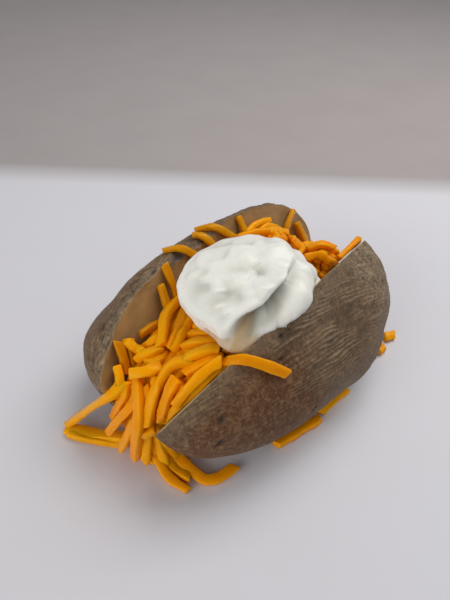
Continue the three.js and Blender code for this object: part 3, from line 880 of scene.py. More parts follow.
# For shreds that lean or lie, that were placed on the heap, and that are scattered in it: how far each
# gives way as they settle, and how far it may stand out of the mounds, in mm.
GIVES_WAY = (0.0, 0.25, 1.0)
STANDS_OUT = (40.0, 9.0, 0.3)

# Shares of the usual width and thickness, and how much painted olive shade the shreds get that lie against the
# left-hand face and the one draped over the right rim.
PLACED_WIDTH, SCATTERED_WIDTH = 0.90, 0.84
LEANING_THICKNESS, OTHER_THICKNESS = 0.78, 0.95
LEFT_OLIVE_SHADE, DRAPED_OLIVE_SHADE = 0.50, 0.25

# Points along a shred's path while it settles, and rings and points of a ring in its finished shape.
PATH_POINTS, SHRED_RINGS, SHRED_POINTS = 10, 26, 12

# How near the middles of two shreds come, how deep they sink in the mounds, and how near they come to a cut
# face and to the floor, in mm.
SHRED_SPACING, SHRED_SINK, FACE_GAP, FLOOR_GAP = 3.6, 3.4, 1.9, 1.65

# Height of a shred's underside where it rests on the floor, in mm.
REST_HEIGHT = 0.02


def shred_on_half(half, ends, thickness):
    """A path along the inside or the outside of a half, from one end to the other, and the way it faces. It
    lies on the cut face, and bends over the rolled edge by a smoothing of neighbouring points."""
    (from_station, from_depth), (to_station, to_depth) = ends[:2]
    share = np.linspace(0, 1, PATH_POINTS)
    station = from_station + (to_station - from_station) * share
    depth = from_depth + (to_depth - from_depth) * share
    out = thickness / 2 + 0.4 - 1.5 * np.exp(-((depth / 5) ** 2)) * (half.side > 0)
    angle = np.pi / 2 + np.minimum(depth, 0) / HALF_WIDTH
    outside = skin_point(half, station, angle, out)
    inside = swing(half, HALF_LENGTH * station, -out, rim_height(half, station) - depth)
    path = np.where((depth < 0)[:, None], outside, inside)
    path[1:-1] = 0.25 * path[:-2] + 0.5 * path[1:-1] + 0.25 * path[2:]
    towards = np.where(depth < 0, np.cos(angle), -1), np.where(depth < 0, np.sin(angle), 0)
    return path, unit(swing(half, 0 * station, *towards) - HINGE)


def smooth_path(points, count):
    """count points at even steps along a smooth curve through points, by Catmull and Rom's cubic."""
    points = np.asarray(points, float)
    padded = np.concatenate([2 * points[:1] - points[1:2], points, 2 * points[-1:] - points[-2:-1]])
    fine = np.linspace(0, len(points) - 1 - 1e-9, 8 * count)
    k, t = fine.astype(int), (fine % 1)[:, None]
    a, b, c, d = (padded[k + step] for step in range(4))
    curve = 0.5 * (2 * b + (c - a) * t + (2 * a - 5 * b + 4 * c - d) * t**2 + (3 * b - a - 3 * c + d) * t**3)
    length = np.concatenate([[0], np.cumsum(np.linalg.norm(np.diff(curve, axis=0), axis=1))])
    even = np.linspace(0, length[-1], count)
    return np.stack([np.interp(even, length, curve[:, axis]) for axis in range(3)], -1)


def mound_distance(points, mounds=MOUNDS + BACK_MOUNDS):
    """About how far a point lies outside the nearest mound, and the way out of it. A mound is where the
    powers of the scaled distances from its centre add up to less than 1, and the distance is what that sum
    is over 1, divided by its slope."""
    best = np.full(points.shape[:-1], 1e9)
    way = np.zeros(points.shape)
    for centre, radii, power in mounds:
        size = np.array(radii)
        q = (points - np.array(centre)) / size
        level = np.abs(q[..., 0]) ** power + q[..., 1] ** 2 + q[..., 2] ** 2
        along = power * np.sign(q[..., 0]) * np.abs(q[..., 0]) ** (power - 1)
        slope = np.stack([along, 2 * q[..., 1], 2 * q[..., 2]], -1) / size
        steep = np.maximum(np.linalg.norm(slope, axis=-1), 1e-3)
        distance = np.clip((level - 1) / steep, -12, 40)
        nearer = distance < best
        best = np.where(nearer, distance, best)
        way = np.where(nearer[..., None], slope / steep[..., None], way)
    return best, way


def mound_height(x, y):
    """Height of the highest mound above a point of the floor, 0 outside them: the root of what the shares
    along and across leave of 1."""
    height = np.zeros(np.shape(x))
    for centre, radii, power in MOUNDS + BACK_MOUNDS:
        inside = 1 - np.abs((x - centre[0]) / radii[0]) ** power - ((y - centre[1]) / radii[1]) ** 2
        top = centre[2] + radii[2] * np.sqrt(np.maximum(inside, 0))
        height = np.maximum(height, np.where(inside > 0, top, 0))
    return height


def hold_off_faces(points, gap):
    """Moves points that have sunk into a half, up to 14 mm deep, back to gap mm off its cut face, where
    they are below its rim."""
    moved = points
    for half in (LEFT, RIGHT):
        across, up = unswing(half, moved)
        station = np.clip((moved[..., 0] - HINGE[0]) / HALF_LENGTH, -1, 1)
        rim = rim_height(half, station)
        base = HALF_HEIGHT * (1 - fullness(half, station))
        sunk = (across > -gap) & (across < 14) & (up < rim + 0.5 * gap) & (up > base - 1)
        back = swing(half, 0, -gap - across, 0) - swing(half, 0, 0, 0)
        moved = np.where(sunk[..., None], moved + back, moved)
    return moved


def part_shreds(paths, loose):
    """The push on each point from points of other shreds that are too near: 0.6 of what is missing between
    the two, shared out by how far each shred gives way."""
    count, per = paths.shape[:2]
    flat = paths.reshape(-1, 3)
    owner = np.repeat(np.arange(count), per)
    square = (flat**2).sum(1)
    apart = square[:, None] + square[None] - 2 * flat @ flat.T
    first, second = np.nonzero(apart < SHRED_SPACING**2)
    keep = owner[first] < owner[second]
    first, second = first[keep], second[keep]
    gap = flat[first] - flat[second]
    distance = np.maximum(np.linalg.norm(gap, axis=1), 1e-3)
    push = gap / distance[:, None] * (SHRED_SPACING - distance)[:, None]
    gives = loose[owner]
    both = np.maximum(gives[first] + gives[second], 1e-6)
    moved = np.zeros_like(flat)
    for index, sign in ((first, 1), (second, -1)):
        for axis in range(3):
            moved[:, axis] += 0.6 * np.bincount(index, sign * push[:, axis] * gives[index] / both, len(flat))
    return moved.reshape(paths.shape)


def settle(paths, loose, outer, steps=90):
    """Lets the shreds come to rest. In turn they sink towards the core, keep their length, straighten, push
    each other apart, and stay between the core, the cut faces and the floor. At the end of each step a
    scattered one goes halfway to the bow that fits it best, by least squares, and a placed one three
    quarters of the way to its own shape, only moved and turned. Placed ones move along the heap's normal
    alone, and are drawn back."""
    start = paths.copy()
    ramp = np.linspace(-1, 1, paths.shape[1])
    straight, _ = np.linalg.qr(np.stack([ramp**0, ramp], 1))
    bowed, _ = np.linalg.qr(np.stack([ramp**0, ramp, ramp**2], 1))
    straight, bowed = straight @ straight.T, bowed @ bowed.T
    each = np.linalg.norm(np.diff(paths, axis=1), axis=2).mean(1)[:, None, None]
    give = loose[:, None, None]
    placed = (loose < 1)[:, None, None]
    for _ in range(steps):
        distance, way = mound_distance(paths)
        sink = np.clip(distance + SHRED_SINK, 0, 1.5)[..., None] * way * 0.08 + np.array([0, 0, 0.04])
        paths = paths - np.where(placed, 0, sink) * give
        paths = paths + np.where(placed, 0.30, 0) * (start - paths)
        for _ in range(2):
            step_along = np.diff(paths, axis=1)
            length = np.linalg.norm(step_along, axis=2, keepdims=True)
            too_long = np.where(placed, 0, 0.5) * give * (length - each)
            change = too_long / np.maximum(length, 1e-6) * step_along
            paths[:, :-1] += change
            paths[:, 1:] -= change
            between = 0.5 * (paths[:, 2:] + paths[:, :-2])
            paths[:, 1:-1] += np.where(placed, 0.05, 0.35) * give * (between - paths[:, 1:-1])
            distance, way = mound_distance(paths)
            push = part_shreds(paths, loose)
            push = np.where(placed, (push * way).sum(-1, keepdims=True) * way, push)
            inside = np.clip(-SHRED_SINK - distance, 0, 3)[..., None] * way * np.where(placed, 0.3, 1)
            outside = np.clip(distance - outer[:, None], 0, 1.0)[..., None] * way
            held = hold_off_faces(paths + push + inside - outside, FACE_GAP)
            held[..., 2] = np.maximum(held[..., 2], FLOOR_GAP)
            paths = np.where(give > 0, held, paths)
        shifted = start + np.einsum("ij,njk->nik", straight, paths - start)
        curved = np.einsum("ij,njk->nik", bowed, paths)
        stiff = np.where(placed, 0.75 * shifted + 0.25 * paths, 0.5 * curved + 0.5 * paths)
        paths = np.where(give > 0, stiff, paths)
    return paths


def scattered_paths(count, seed):
    """Straight shreds, 11 to 32 mm long, over the heap's open stretches in front of the cream and beyond it.
    They are evenly spaced along a stretch, and across it by a golden-ratio rule, with seeded turns."""
    random = np.random.default_rng(seed)
    golden = 0.618034
    in_front = int(count * 0.58)
    paths = []
    for i in range(count):
        side = (i * golden) % 1
        if i < in_front:
            along = (i + 0.5) / in_front
            x, y = -77 + 46 * along, HINGE[1] + 4 + (10 + 14 * min(2 * along, 1)) * (2 * side - 1)
            heading = np.pi + 0.5 * side + 0.9 * (random.random() - 0.5)
        else:
            along = (i - in_front + 0.5) / (count - in_front)
            x, y = -2 + 50 * along, HINGE[1] + 2 + (19 - 4 * along) * (2 * side - 1)
            heading = -0.3 + 0.6 * side + 1.6 * (random.random() - 0.5)
        length = 11 + 21 * random.random()
        reach = (np.linspace(-0.5, 0.5, PATH_POINTS) * length)[:, None]
        path = np.array([x, y, 0]) + reach * np.array([np.cos(heading), np.sin(heading), 0])
        height = mound_height(path[:, 0], path[:, 1])
        path[:, 2] = np.maximum(height - 3.5 + 3.5 * random.random(), 2)
        paths.append(smooth_path(path, PATH_POINTS))
    return np.array(paths)


def shred_shells(paths, facing, width, thickness, seed):
    """Sweeps a rounded rectangle, a power curve of 5, along each path with its flat sides to the facing. It
    swells and narrows a little on the way, twists, and ends in a slanting cut with a worn edge."""
    random = np.random.default_rng(seed)
    shells = []
    turn = np.linspace(0, 2 * np.pi, SHRED_POINTS, endpoint=False)
    flat = np.sign(np.cos(turn)) * np.abs(np.cos(turn)) ** (2 / 5)
    tall = np.sign(np.sin(turn)) * np.abs(np.sin(turn)) ** (2 / 5)
    sizes = np.broadcast_to(width, len(paths)), np.broadcast_to(thickness, len(paths))
    for path, towards, own_width, own_thickness in zip(paths, facing, *sizes):
        # Three rings round off each end within 0.6 mm, and the others share the way between.
        length = np.linalg.norm(np.diff(path, axis=0), axis=1).sum()
        inner = np.linspace(0.6 / length, 1 - 0.6 / length, SHRED_RINGS - 6)
        share = np.concatenate([[0, 0, 0.18 / length], inner, [1 - 0.18 / length, 1, 1]])
        closing = np.concatenate([[0, 0.84, 0.95], np.ones(SHRED_RINGS - 6), [0.95, 0.84, 0]])

        centre = smooth_path(path, 4 * SHRED_RINGS)
        fine = np.linspace(0, 1, len(centre))
        coarse = np.linspace(0, 1, len(path))
        onward = np.gradient(centre, axis=0)
        at = np.stack([np.interp(share, fine, centre[:, k]) for k in range(3)], -1)
        tangent = unit(np.stack([np.interp(share, fine, onward[:, k]) for k in range(3)], -1))
        look = np.stack([np.interp(share, coarse, towards[:, k]) for k in range(3)], -1)
        side = unit(np.cross(look, tangent))
        up = np.cross(tangent, side)

        twist = random.uniform(-0.45, 0.45) + random.uniform(-0.6, 0.6) * (share - 0.5)
        c, s = np.cos(twist)[:, None], np.sin(twist)[:, None]
        side, up = side * c + up * s, up * c - side * s
        wave = 1 + 0.06 * np.sin(2 * np.pi * (share * random.uniform(0.8, 2.2) + random.random()))
        taper = 1 - random.uniform(0, 0.22) * share
        rough = 1 + 0.09 * soft_noise(at, 2.2, seed) + 0.08 * soft_noise(at, 5, seed + 1)
        wide = 0.5 * own_width * random.uniform(0.82, 1.12) * wave * taper * rough * closing
        high = 0.5 * own_thickness * random.uniform(0.88, 1.12) * rough * closing
        slant = random.uniform(-0.7, 0.7, 2)
        lean = np.where(share < 0.5, slant[0] * ease(0.10, 0, share), slant[1] * ease(0.90, 1, share))
        ring = (
            at[:, None]
            + side[:, None] * (wide[:, None] * flat)[..., None]
            + up[:, None] * (high[:, None] * tall)[..., None]
            + tangent[:, None] * (lean[:, None] * wide[:, None] * flat)[..., None]
        )
        ring[..., 2] = np.maximum(ring[..., 2], REST_HEIGHT)
        shells.append(closed_grid(ring))
    return shells


def shred_edges():
    """How near each point of a shred is to one of its four long edges: the sine of twice its turn."""
    turn = np.linspace(0, 2 * np.pi, SHRED_POINTS, endpoint=False)
    return grid_values(np.tile(np.abs(np.sin(2 * turn)), (SHRED_RINGS, 1)))


def cheese_piece(name, node, shells, cheese, seed, edge=0.0, olive_shade=0.0):
    """A piece of cheese with four values for each point: a tone from 0 to 1 that each shell has of its own,
    how near a long edge is, for a painted highlight there, how much painted olive shade its shell gets, and
    painted shade by how deep the point lies in the heap."""
    random = np.random.default_rng(seed)
    points, quads, triangles = join_shells(shells)
    sizes = [len(shell) for shell, _, _ in shells]
    distance, _ = mound_distance(points, MOUNDS)
    values = {
        "tone": np.repeat([random.random() for _ in shells], sizes),
        "edge": np.zeros(len(points)) if np.isscalar(edge) else np.tile(edge, len(shells)),
        "olive_shade": np.repeat(np.broadcast_to(olive_shade, len(shells)), sizes),
        # Painted shade, a deeper orange, where the point lies deep in the heap.
        "crevice_shade": 0.92 * ease(0.5, -3.0, distance),
    }
    belongs(make_piece(name, points, quads, triangles, [cheese], attributes=values), "cheese", node)


# The core lies this far under the mounds' surface, in mm, with the shreds around it. What would be
# below the floor gap is squeezed flat.
CORE_SHRINK, CORE_FLOOR_GAP, CORE_SQUEEZE = 3.5, 0.3, 0.005


def heap_core_shells(rows=60, columns=72):
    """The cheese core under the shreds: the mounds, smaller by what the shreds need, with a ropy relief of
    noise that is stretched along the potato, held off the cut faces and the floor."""
    shells = []
    for k, (centre, radii, power) in enumerate(MOUNDS + BACK_MOUNDS + (NEAR_LUMP,)):
        size = np.array(radii) - (0 if centre == NEAR_LUMP[0] else CORE_SHRINK)
        along = -np.cos(np.linspace(0, np.pi, rows)[:, None])
        share = np.sqrt(np.maximum(1 - np.abs(along) ** power, 0))
        around = np.linspace(0, 2 * np.pi, columns, endpoint=False)[None]
        points = np.stack(np.broadcast_arrays(
            centre[0] + size[0] * along,
            centre[1] + size[1] * share * np.cos(around),
            centre[2] + size[2] * share * np.sin(around),
        ), -1)
        ropes = 1 - np.abs(soft_noise(points * np.array([0.35, 1, 1]), 3.2, 60 + k))
        points = points + unit(points - np.array(centre)) * (0.9 * ropes * share)[..., None]
        points = hold_off_faces(points, 0.5)
        height = points[..., 2] - CORE_FLOOR_GAP
        points[..., 2] = CORE_FLOOR_GAP + np.where(height < 0, CORE_SQUEEZE * height, height)
        shells.append(closed_grid(points))
    return shells


class AddCheeseHeap(bpy.types.Operator):
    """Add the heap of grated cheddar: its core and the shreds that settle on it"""

    bl_idname = "baked_potato.add_cheese_heap"
    bl_label = "Add Cheese Heap"

    def execute(self, context):
        settings = context.scene.baked_potato_cheese
        width, thickness = settings.shred_width / MM, settings.shred_thickness / MM
        cheese = grated_cheddar(settings.colour)
        runs = [(LEFT, ends) for ends in LEFT_SHREDS] + [(RIGHT, ends) for ends in RIGHT_SHREDS]
        leaning = [shred_on_half(half, ends, thickness) for half, ends in runs]
        upward = np.tile([0.0, 0.0, 1.0], (PATH_POINTS, 1))
        lying = [(smooth_path(run, PATH_POINTS), upward) for run in FLOOR_SHREDS]
        fixed = [path for path, _ in leaning + lying]
        placed = [smooth_path(run, PATH_POINTS) for run in FRONT_SHREDS + BACK_SHREDS]
        scattered = scattered_paths(settings.scattered_count, seed=5)
        kinds = (len(fixed), len(placed), len(scattered))
        paths = np.concatenate([fixed, placed, scattered])
        paths = settle(paths, np.repeat(GIVES_WAY, kinds), np.repeat(STANDS_OUT, kinds))
        _, facing = mound_distance(paths)
        facing[: len(fixed)] = [towards for _, towards in leaning + lying]

        widths = np.concatenate([
            [ends[2] for _, ends in runs], FLOOR_WIDTHS,
            np.full(len(placed), PLACED_WIDTH), np.full(len(scattered), SCATTERED_WIDTH),
        ]) * width
        others = len(paths) - len(leaning)
        thicknesses = thickness * np.repeat([LEANING_THICKNESS, OTHER_THICKNESS], [len(leaning), others])
        rest = len(paths) - len(LEFT_SHREDS) - 1
        # Painted olive shade on the shreds against the left-hand face and on the one draped over the right
        # rim.
        olive_shade = np.repeat([LEFT_OLIVE_SHADE, DRAPED_OLIVE_SHADE, 0.0], [len(LEFT_SHREDS), 1, rest])
        shreds = shred_shells(paths, facing, widths, thicknesses, seed=8)
        cheese_piece("cheese_shreds", "cheese_heap", shreds, cheese, seed=9, edge=shred_edges(), olive_shade=olive_shade)
        cheese_piece("cheese_core", "cheese_heap", heap_core_shells(), cheese, seed=10)
        return {"FINISHED"}


# Shreds that fell beside the potato's right foot: start and end on the floor.
FALLEN_SHREDS = (
    ((-34, -45), (-11, -52)), ((-9, -49.5), (10, -53)), ((40, -52.5), (45, -54)), ((51, -51), (56, -54)),
)


class AddFallenShreds(bpy.types.Operator):
    """Add the four shreds that lie along the foot of the right half"""

    bl_idname = "baked_potato.add_fallen_shreds"
    bl_label = "Add Fallen Shreds"

    def execute(self, context):
        settings = context.scene.baked_potato_cheese
        width, thickness = settings.shred_width / MM, settings.shred_thickness / MM
        cheese = grated_cheddar(settings.colour)
        for number, (start, end) in enumerate(FALLEN_SHREDS, 1):
            middle = 0.5 * thickness
            path = smooth_path([(*start, middle), (*end, middle)], PATH_POINTS)
            up = np.tile([0.0, 0.0, 1.0], (PATH_POINTS, 1))
            shells = shred_shells([path], [up], 1.1 * width, 0.94 * thickness, seed=70 + number)
            name = f"fallen_shred_{number}"
            cheese_piece(f"{name}_cheddar", name, shells, cheese, seed=80 + number, edge=shred_edges())
        return {"FINISHED"}


# ---------------------------------------------------------------- sour cream

# The spoon's fold runs across the top as a crest over a valley: mm right of and away from the cream's centre.
FOLD = (
    (12.0, 3.4), (10.6, -1.2), (7.9, -7.8), (3.8, -13.3), (0.3, -17.1), (-4.3, -20.4), (-8.7, -22.7),
    (-11.4, -24.8), (-14.0, -28.0),
)


def blob_reach(blob, direction):
    """How far a lens-shaped blob reaches from the cream's centre each way, found by halving. Inside it, the
    distance across to its power and the height squared, as shares of its radii, add up to less than 1."""
    offset, radii, power, (tilt_x, tilt_y) = blob
    turn = np.array(Matrix.Rotation(tilt_x, 3, "X") @ Matrix.Rotation(tilt_y, 3, "Y"))
    d, o = direction @ turn, np.array(offset) @ turn
    low, high = np.zeros(direction.shape[:-1]), np.full(direction.shape[:-1], 80.0)
    for _ in range(26):
        middle = 0.5 * (low + high)
        q = (d * middle[..., None] - o) / np.array(radii)
        inside = np.hypot(q[..., 0], q[..., 1]) ** power + q[..., 2] ** 2 < 1
        low, high = np.where(inside, middle, low), np.where(inside, high, middle)
    return low


def distance_to_fold(right, away):
    """Distance from the fold's line, above 0 on its lower right side, and the share of the way along it."""
    place = np.stack([right, away], -1)
    best, share = np.full(right.shape, 1e9), np.zeros(right.shape)
    line = np.array(FOLD)
    lengths = np.concatenate([[0], np.cumsum(np.linalg.norm(np.diff(line, axis=0), axis=1))])
    for k in range(len(line) - 1):
        step = line[k + 1] - line[k]
        size = np.linalg.norm(step)
        along = np.clip((place - line[k]) @ step / size**2, 0, 1)
        offset = place - line[k] - along[..., None] * step
        distance = np.linalg.norm(offset, axis=-1)
        nearer = distance < np.abs(best)
        side = np.sign(step[0] * offset[..., 1] - step[1] * offset[..., 0])
        best = np.where(nearer, distance * side, best)
        share = np.where(nearer, (lengths[k] + along * size) / lengths[-1], share)
    return best, share


# Hollows that the spoon left: place and half widths right and away in mm, and depth.
CREAM_HOLLOWS = (
    ((-8.0, -2.5), (7.5, 3.0), 2.8), ((-8.5, -15.5), (4.0, 4.0), 2.2), ((-15.0, -13.5), (6.0, 5.0), 1.8),
    ((-20.5, -7.0), (4.0, 4.0), 1.3), ((1.0, -5.0), (4.0, 2.2), 1.2),
)

# Small peaks and ridges that the spoon left: place and half widths right and away in mm, and height.
CREAM_PEAKS = (
    ((-15.0, -17.4), (2.0, 1.1), 1.9), ((-12.0, -19.8), (1.9, 1.0), 1.6), ((-15.0, -11.0), (2.2, 1.4), 1.4),
    ((-13.0, -26.5), (1.4, 1.6), 1.6), ((-4.8, -13.8), (3.2, 1.7), 1.4), ((1.0, -11.6), (3.6, 1.5), 1.6),
    ((5.0, -9.0), (2.8, 1.8), 1.3), ((4.0, 8.0), (6.0, 3.0), 1.4), ((-19.0, -5.0), (4.0, 2.4), 1.0),
    ((14.5, -12.0), (5.5, 6.0), 2.2), ((9.5, -19.5), (4.5, 4.5), 2.6), ((1.5, -26.5), (4.0, 2.5), 1.4),
)


def cream_relief(right, away, depth, inner):
    """The spoon's marks on the top: the crest and the valley of the fold, the lobe beyond it, a shallow
    crater with small peaks in it, soft hollows and ridges, curdy grains between them, and ripples."""
    distance, share = distance_to_fold(right, away)
    deep = depth * np.interp(share, [0, 0.12, 0.30, 0.55, 0.8, 1], [0.10, 0.30, 0.62, 1.0, 0.95, 0.8])
    floor = np.interp(share, [0, 0.35, 0.7, 1], [2.6, 3.2, 3.8, 6.0])
    valley = ease(-0.4, 2.4, distance) * np.exp(-((np.maximum(distance - 3.0, 0) / floor) ** 2))
    crest = np.exp(-(((distance + 1.3) / 1.5) ** 2)) * ease(0.05, 0.35, share)
    relief = -deep * valley + 0.9 * crest
    for at, size, low in CREAM_HOLLOWS:
        relief = relief - low * hump(right, away, at, size)
    for at, size, high in CREAM_PEAKS:
        relief = relief + high * hump(right, away, at, size)
    flat = np.stack([right, away, 0 * right], -1)
    grains = 0.30 * np.maximum(soft_noise(flat, 1.7, 95), 0) * (hump(right, away, (-3, -6), (9, 7)) + 0.25)
    ripples = 1.4 * soft_noise(flat, 8, 91) + 0.9 * soft_noise(flat, 4.2, 92)
    return relief + grains + ripples * (0.4 + 0.6 * inner)


# How far out the lower spoonful reaches over the right-hand skin: degrees about the centre, and mm.
SKIN_EDGE = (
    (-180, 60), (-160, 42), (-150, 29), (-140, 23.5), (-131, 21), (-120, 20), (-108, 21), (-96, 23.5),
    (-81, 25.5), (-65, 26), (-50, 28), (-38, 31), (-28, 34), (-15, 42), (0, 60), (180, 60),
)


def edge_limit(direction, reach):
    """The reach held inside a dome, the direction seen from above in degrees, and how far in from the skin
    edge each point lies. The dome's foot is the skin edge and its profile a power curve of 1.8; the reach
    rounds over into it by the root mean power of -10."""
    azimuth = np.degrees(np.arctan2(direction[..., 1], direction[..., 0]))
    flat = np.maximum(np.hypot(direction[..., 0], direction[..., 1]), 1e-3)
    at, mm = np.array(SKIN_EDGE).T
    foot = np.interp(azimuth, at, mm)
    dome = ((flat / foot) ** 1.8 + (np.maximum(direction[..., 2], 0) / 17) ** 1.8) ** (-1 / 1.8)
    held = (reach**-10.0 + dome**-10.0) ** (-1 / 10)
    return held, azimuth, foot - flat * held


def turned_from(azimuth, middle):
    """Degrees from 0 to 180 between two directions seen from above."""
    return np.abs((azimuth - middle + 180) % 360 - 180)


def spoonful_form(direction):
    """How far the cream reaches each way before the spoon's marks, the direction seen from above in degrees,
    and how far in from the skin edge it lies. It is the further of two blobs, held inside the edge. A
    bell-shaped tongue hangs over the skin, both ends are undercut, and such a tail runs down the front."""
    rise = direction[..., 2]
    lens, skirt = blob_reach(CREAM_LENS, direction), blob_reach(CREAM_SKIRT, direction)
    reach, azimuth, margin = edge_limit(direction, np.maximum(lens, skirt))
    front, left = turned_from(azimuth, -168), turned_from(azimuth, 140)
    undercut = 0.12 * ease(60, 34, left) + 0.02 * ease(34, 20, front)
    tongue = hump(azimuth, rise, (-32, 0.06), (17, 0.26))
    reach = (reach + 5.0 * tongue) * (1 - undercut * ease(0.08, -0.30, rise))
    reach = reach * (1 - 0.05 * ease(50, 15, front) * ease(-0.15, 0.0, rise))
    reach = reach + 4.2 * hump(azimuth, rise, (-156, -0.24), (14, 0.16))
    return reach, azimuth, margin


# The cream's rings from its top to its underside, and the points of each.
CREAM_RINGS, CREAM_RING_POINTS = 236, 400


class AddSourCream(bpy.types.Operator):
    """Add the spoonful of sour cream across the heap and the right-hand rim"""

    bl_idname = "baked_potato.add_sour_cream"
    bl_label = "Add Sour Cream"

    def execute(self, context):
        settings = context.scene.baked_potato_cream
        polar = np.linspace(0, np.pi, CREAM_RINGS)[:, None]
        around = np.linspace(0, 2 * np.pi, CREAM_RING_POINTS, endpoint=False)[None]
        direction = np.stack(np.broadcast_arrays(
            np.sin(polar) * np.cos(around), np.sin(polar) * np.sin(around), np.cos(polar) + 0 * around
        ), -1)
        reach, azimuth, margin = spoonful_form(direction)
        place = direction * reach[..., None]
        c, s = np.cos(SPOON_TURN), np.sin(SPOON_TURN)
        right, away = place[..., 0] * c + place[..., 1] * s, -place[..., 0] * s + place[..., 1] * c

        # The top has a lip along its edge and the spoon's marks, and the rest is ragged.
        upper = ease(-0.1, 0.30, direction[..., 2])
        flat = np.hypot(place[..., 0], place[..., 1])
        edge = flat / flat.max(0, keepdims=True)
        lip = 1.2 * np.exp(-(((edge - 0.975) / 0.025) ** 2)) * (direction[..., 2] > 0) * ease(-2, 8, -right)
        relief = upper * cream_relief(right, away, settings.fold_depth / MM, ease(1.02, 0.78, edge))
        ragged = 0.55 * soft_noise(direction * 26, 5, 93) + 0.3 * soft_noise(direction * 26, 2.4, 94)
        reach = reach + lip + relief + (1 - upper) * ragged
        points = CREAM_CENTRE + direction * reach[..., None]

        # It thins out to a film over the skin beyond the fold, and over cheese below the lip at its front;
        # there the film also stands for painted shade, grey in the fold's valley and beige under the lip.
        distance, share = distance_to_fold(right, away)
        patchy = 0.12 * soft_noise(np.stack([right, away, 0 * right], -1), 3.0, 96)
        film = ease(0.0, 2.5, distance) * ease(0.30, 0.80, share + patchy) * ease(0.6, 2.6, margin)
        film = 0.9 * film * ease(10.5, 2.5, distance)
        below_lip = ease(0.8, -1.0, place[..., 2]) * ease(28, 14, turned_from(azimuth, -162) - 60 * patchy)
        # The film values also paint shade in the fold's valley and under the lip, and sunk paints shade in the
        # hollows.
        values = {
            "film_and_shade": np.maximum(film, 0.7 * below_lip), "sunk": ease(0.4, -3.2, relief),
            "cheese_beneath_and_bounce": np.maximum(ease(0.62, 0.88, share), below_lip),
        }
        cream = cultured_cream(settings.colour)
        belongs(ring_piece("sour_cream_spoonful", points, [cream], values), "sour_cream", "sour_cream")
        return {"FINISHED"}


# ---------------------------------------------------------------- stage

# The camera, in mm in the maker's own coordinates: where it stands, and its up and forward ways.
CAMERA_AT = np.array([-128.88, -91.65, 185.51])
CAMERA_UP = (0.5204, 0.4666, 0.7152)
CAMERA_FORWARD = (0.5564, 0.4501, -0.6984)


def aim(obj, at, forward, up):
    """Places obj at a point in metres, looking forward, with its top towards up."""
    back = -unit(np.array(forward, float))
    right = unit(np.cross(np.array(up, float), back))
    matrix = np.eye(4)
    matrix[:3, 0], matrix[:3, 1], matrix[:3, 2], matrix[:3, 3] = right, np.cross(back, right), back, at
    obj.matrix_world = Matrix(matrix.tolist())


def add_light(scene, name, way, distance, up, sizes, power, colour):
    """An area light that shines on the middle of the part from distance metres away. It has two sizes in
    metres, a power in watts, and a colour."""
    light = bpy.data.lights.new(name, "AREA")
    light.shape, light.size, light.size_y, light.energy = "RECTANGLE", *sizes, power
    light.color = linear(colour)[:3]
    lamp = bpy.data.objects.new(name, light)
    scene.collection.objects.link(lamp)
    way = unit(way)
    aim(lamp, way * distance, -way, up)


# Half the floor's side and its height, in mm.
FLOOR_HALF_SIDE, FLOOR_HEIGHT = 2500.0, -0.05


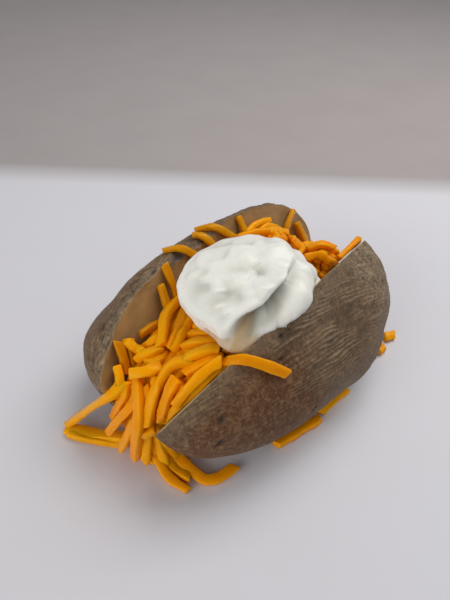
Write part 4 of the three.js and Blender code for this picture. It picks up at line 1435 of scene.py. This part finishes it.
class AddStage(bpy.types.Operator):
    """Add the paper floor, the lights and the camera"""

    bl_idname = "baked_potato.add_stage"
    bl_label = "Add Stage"

    def execute(self, context):
        settings = context.scene.baked_potato_stage
        scene = context.scene
        away = unit(np.array([CAMERA_FORWARD[0], CAMERA_FORWARD[1], 0.0]))
        beside = np.array([-away[1], away[0], 0.0])

        # The floor's sides run along the camera's view.
        corners = FLOOR_HALF_SIDE * np.array([[-1.0, -1.0], [1.0, -1.0], [1.0, 1.0], [-1.0, 1.0]])
        points = corners[:, :1] * away + corners[:, 1:] * beside
        points[:, 2] = FLOOR_HEIGHT
        mesh = bpy.data.meshes.new("paper_floor")
        mesh.from_pydata((points * MM).tolist(), [], [(0, 1, 2, 3)])
        mesh.materials.append(white_paper(away))
        floor = bpy.data.objects.new("paper_floor", mesh)
        scene.collection.objects.link(floor)

        # A broad light from above and beyond the part, and a weak one low at its front.
        above = 0.34 * away - 0.36 * beside + np.array([0, 0, 0.87])
        low = np.array([-0.92, 0.10, 0.30])
        upright = np.array([0, 0, 1.0])
        add_light(scene, "key", above, 0.75, away, (0.6, 0.4), settings.key_power, "#fffdfa")
        add_light(scene, "bounce", low, 1.1, upright, (0.8, 0.8), settings.bounce_power, "#fffdf9")
        world = bpy.data.worlds.new("room")
        world.use_nodes = True
        background = world.node_tree.nodes["Background"]
        background.inputs["Color"].default_value = linear("#fafcff")
        background.inputs["Strength"].default_value = settings.fill_strength
        scene.world = world
        scene.view_settings.view_transform = "Standard"

        lens = bpy.data.cameras.new("camera")
        lens.lens, lens.sensor_width, lens.sensor_fit = settings.lens, 36.0, "AUTO"
        lens.clip_start, lens.clip_end = 0.01, 20.0
        camera = bpy.data.objects.new("camera", lens)
        scene.collection.objects.link(camera)
        aim(camera, (CAMERA_AT + SHIFT) * MM, CAMERA_FORWARD, CAMERA_UP)
        scene.camera = camera
        return {"FINISHED"}


# ---------------------------------------------------------------- panel and registration


class BakedPotatoPanel(bpy.types.Panel):
    """The pieces and their settings in the sidebar"""

    bl_idname = "VIEW3D_PT_baked_potato"
    bl_label = "Baked Potato"
    bl_space_type = "VIEW_3D"
    bl_region_type = "UI"
    bl_category = "Baked Potato"

    def draw(self, context):
        for group, operators in PANEL_ROWS:
            box = self.layout.box()
            settings = getattr(context.scene, group)
            for name in settings.__annotations__:
                box.prop(settings, name)
            for operator in operators:
                box.operator(operator)


PANEL_ROWS = (
    ("baked_potato_skin", ("baked_potato.add_potato",)),
    ("baked_potato_cheese", ("baked_potato.add_cheese_heap", "baked_potato.add_fallen_shreds")),
    ("baked_potato_cream", ("baked_potato.add_sour_cream",)),
    ("baked_potato_stage", ("baked_potato.add_stage",)),
)
GROUPS = (
    ("baked_potato_skin", PotatoSettings),
    ("baked_potato_cheese", CheeseSettings),
    ("baked_potato_cream", CreamSettings),
    ("baked_potato_stage", StageSettings),
)
CLASSES = (AddPotato, AddCheeseHeap, AddFallenShreds, AddSourCream, AddStage, BakedPotatoPanel)


def register():
    """Adds the settings, the operators and the panel to Blender."""
    for name, group in GROUPS:
        bpy.utils.register_class(group)
        setattr(bpy.types.Scene, name, PointerProperty(type=group))
    for cls in CLASSES:
        bpy.utils.register_class(cls)


def unregister():
    """Takes them out again."""
    for cls in reversed(CLASSES):
        bpy.utils.unregister_class(cls)
    for name, group in reversed(GROUPS):
        delattr(bpy.types.Scene, name)
        bpy.utils.unregister_class(group)


def main():
    """Builds the whole scene."""
    register()
    bpy.ops.baked_potato.add_potato()
    bpy.ops.baked_potato.add_cheese_heap()
    bpy.ops.baked_potato.add_fallen_shreds()
    bpy.ops.baked_potato.add_sour_cream()
    bpy.ops.baked_potato.add_stage()


if __name__ == "__main__":
    main()
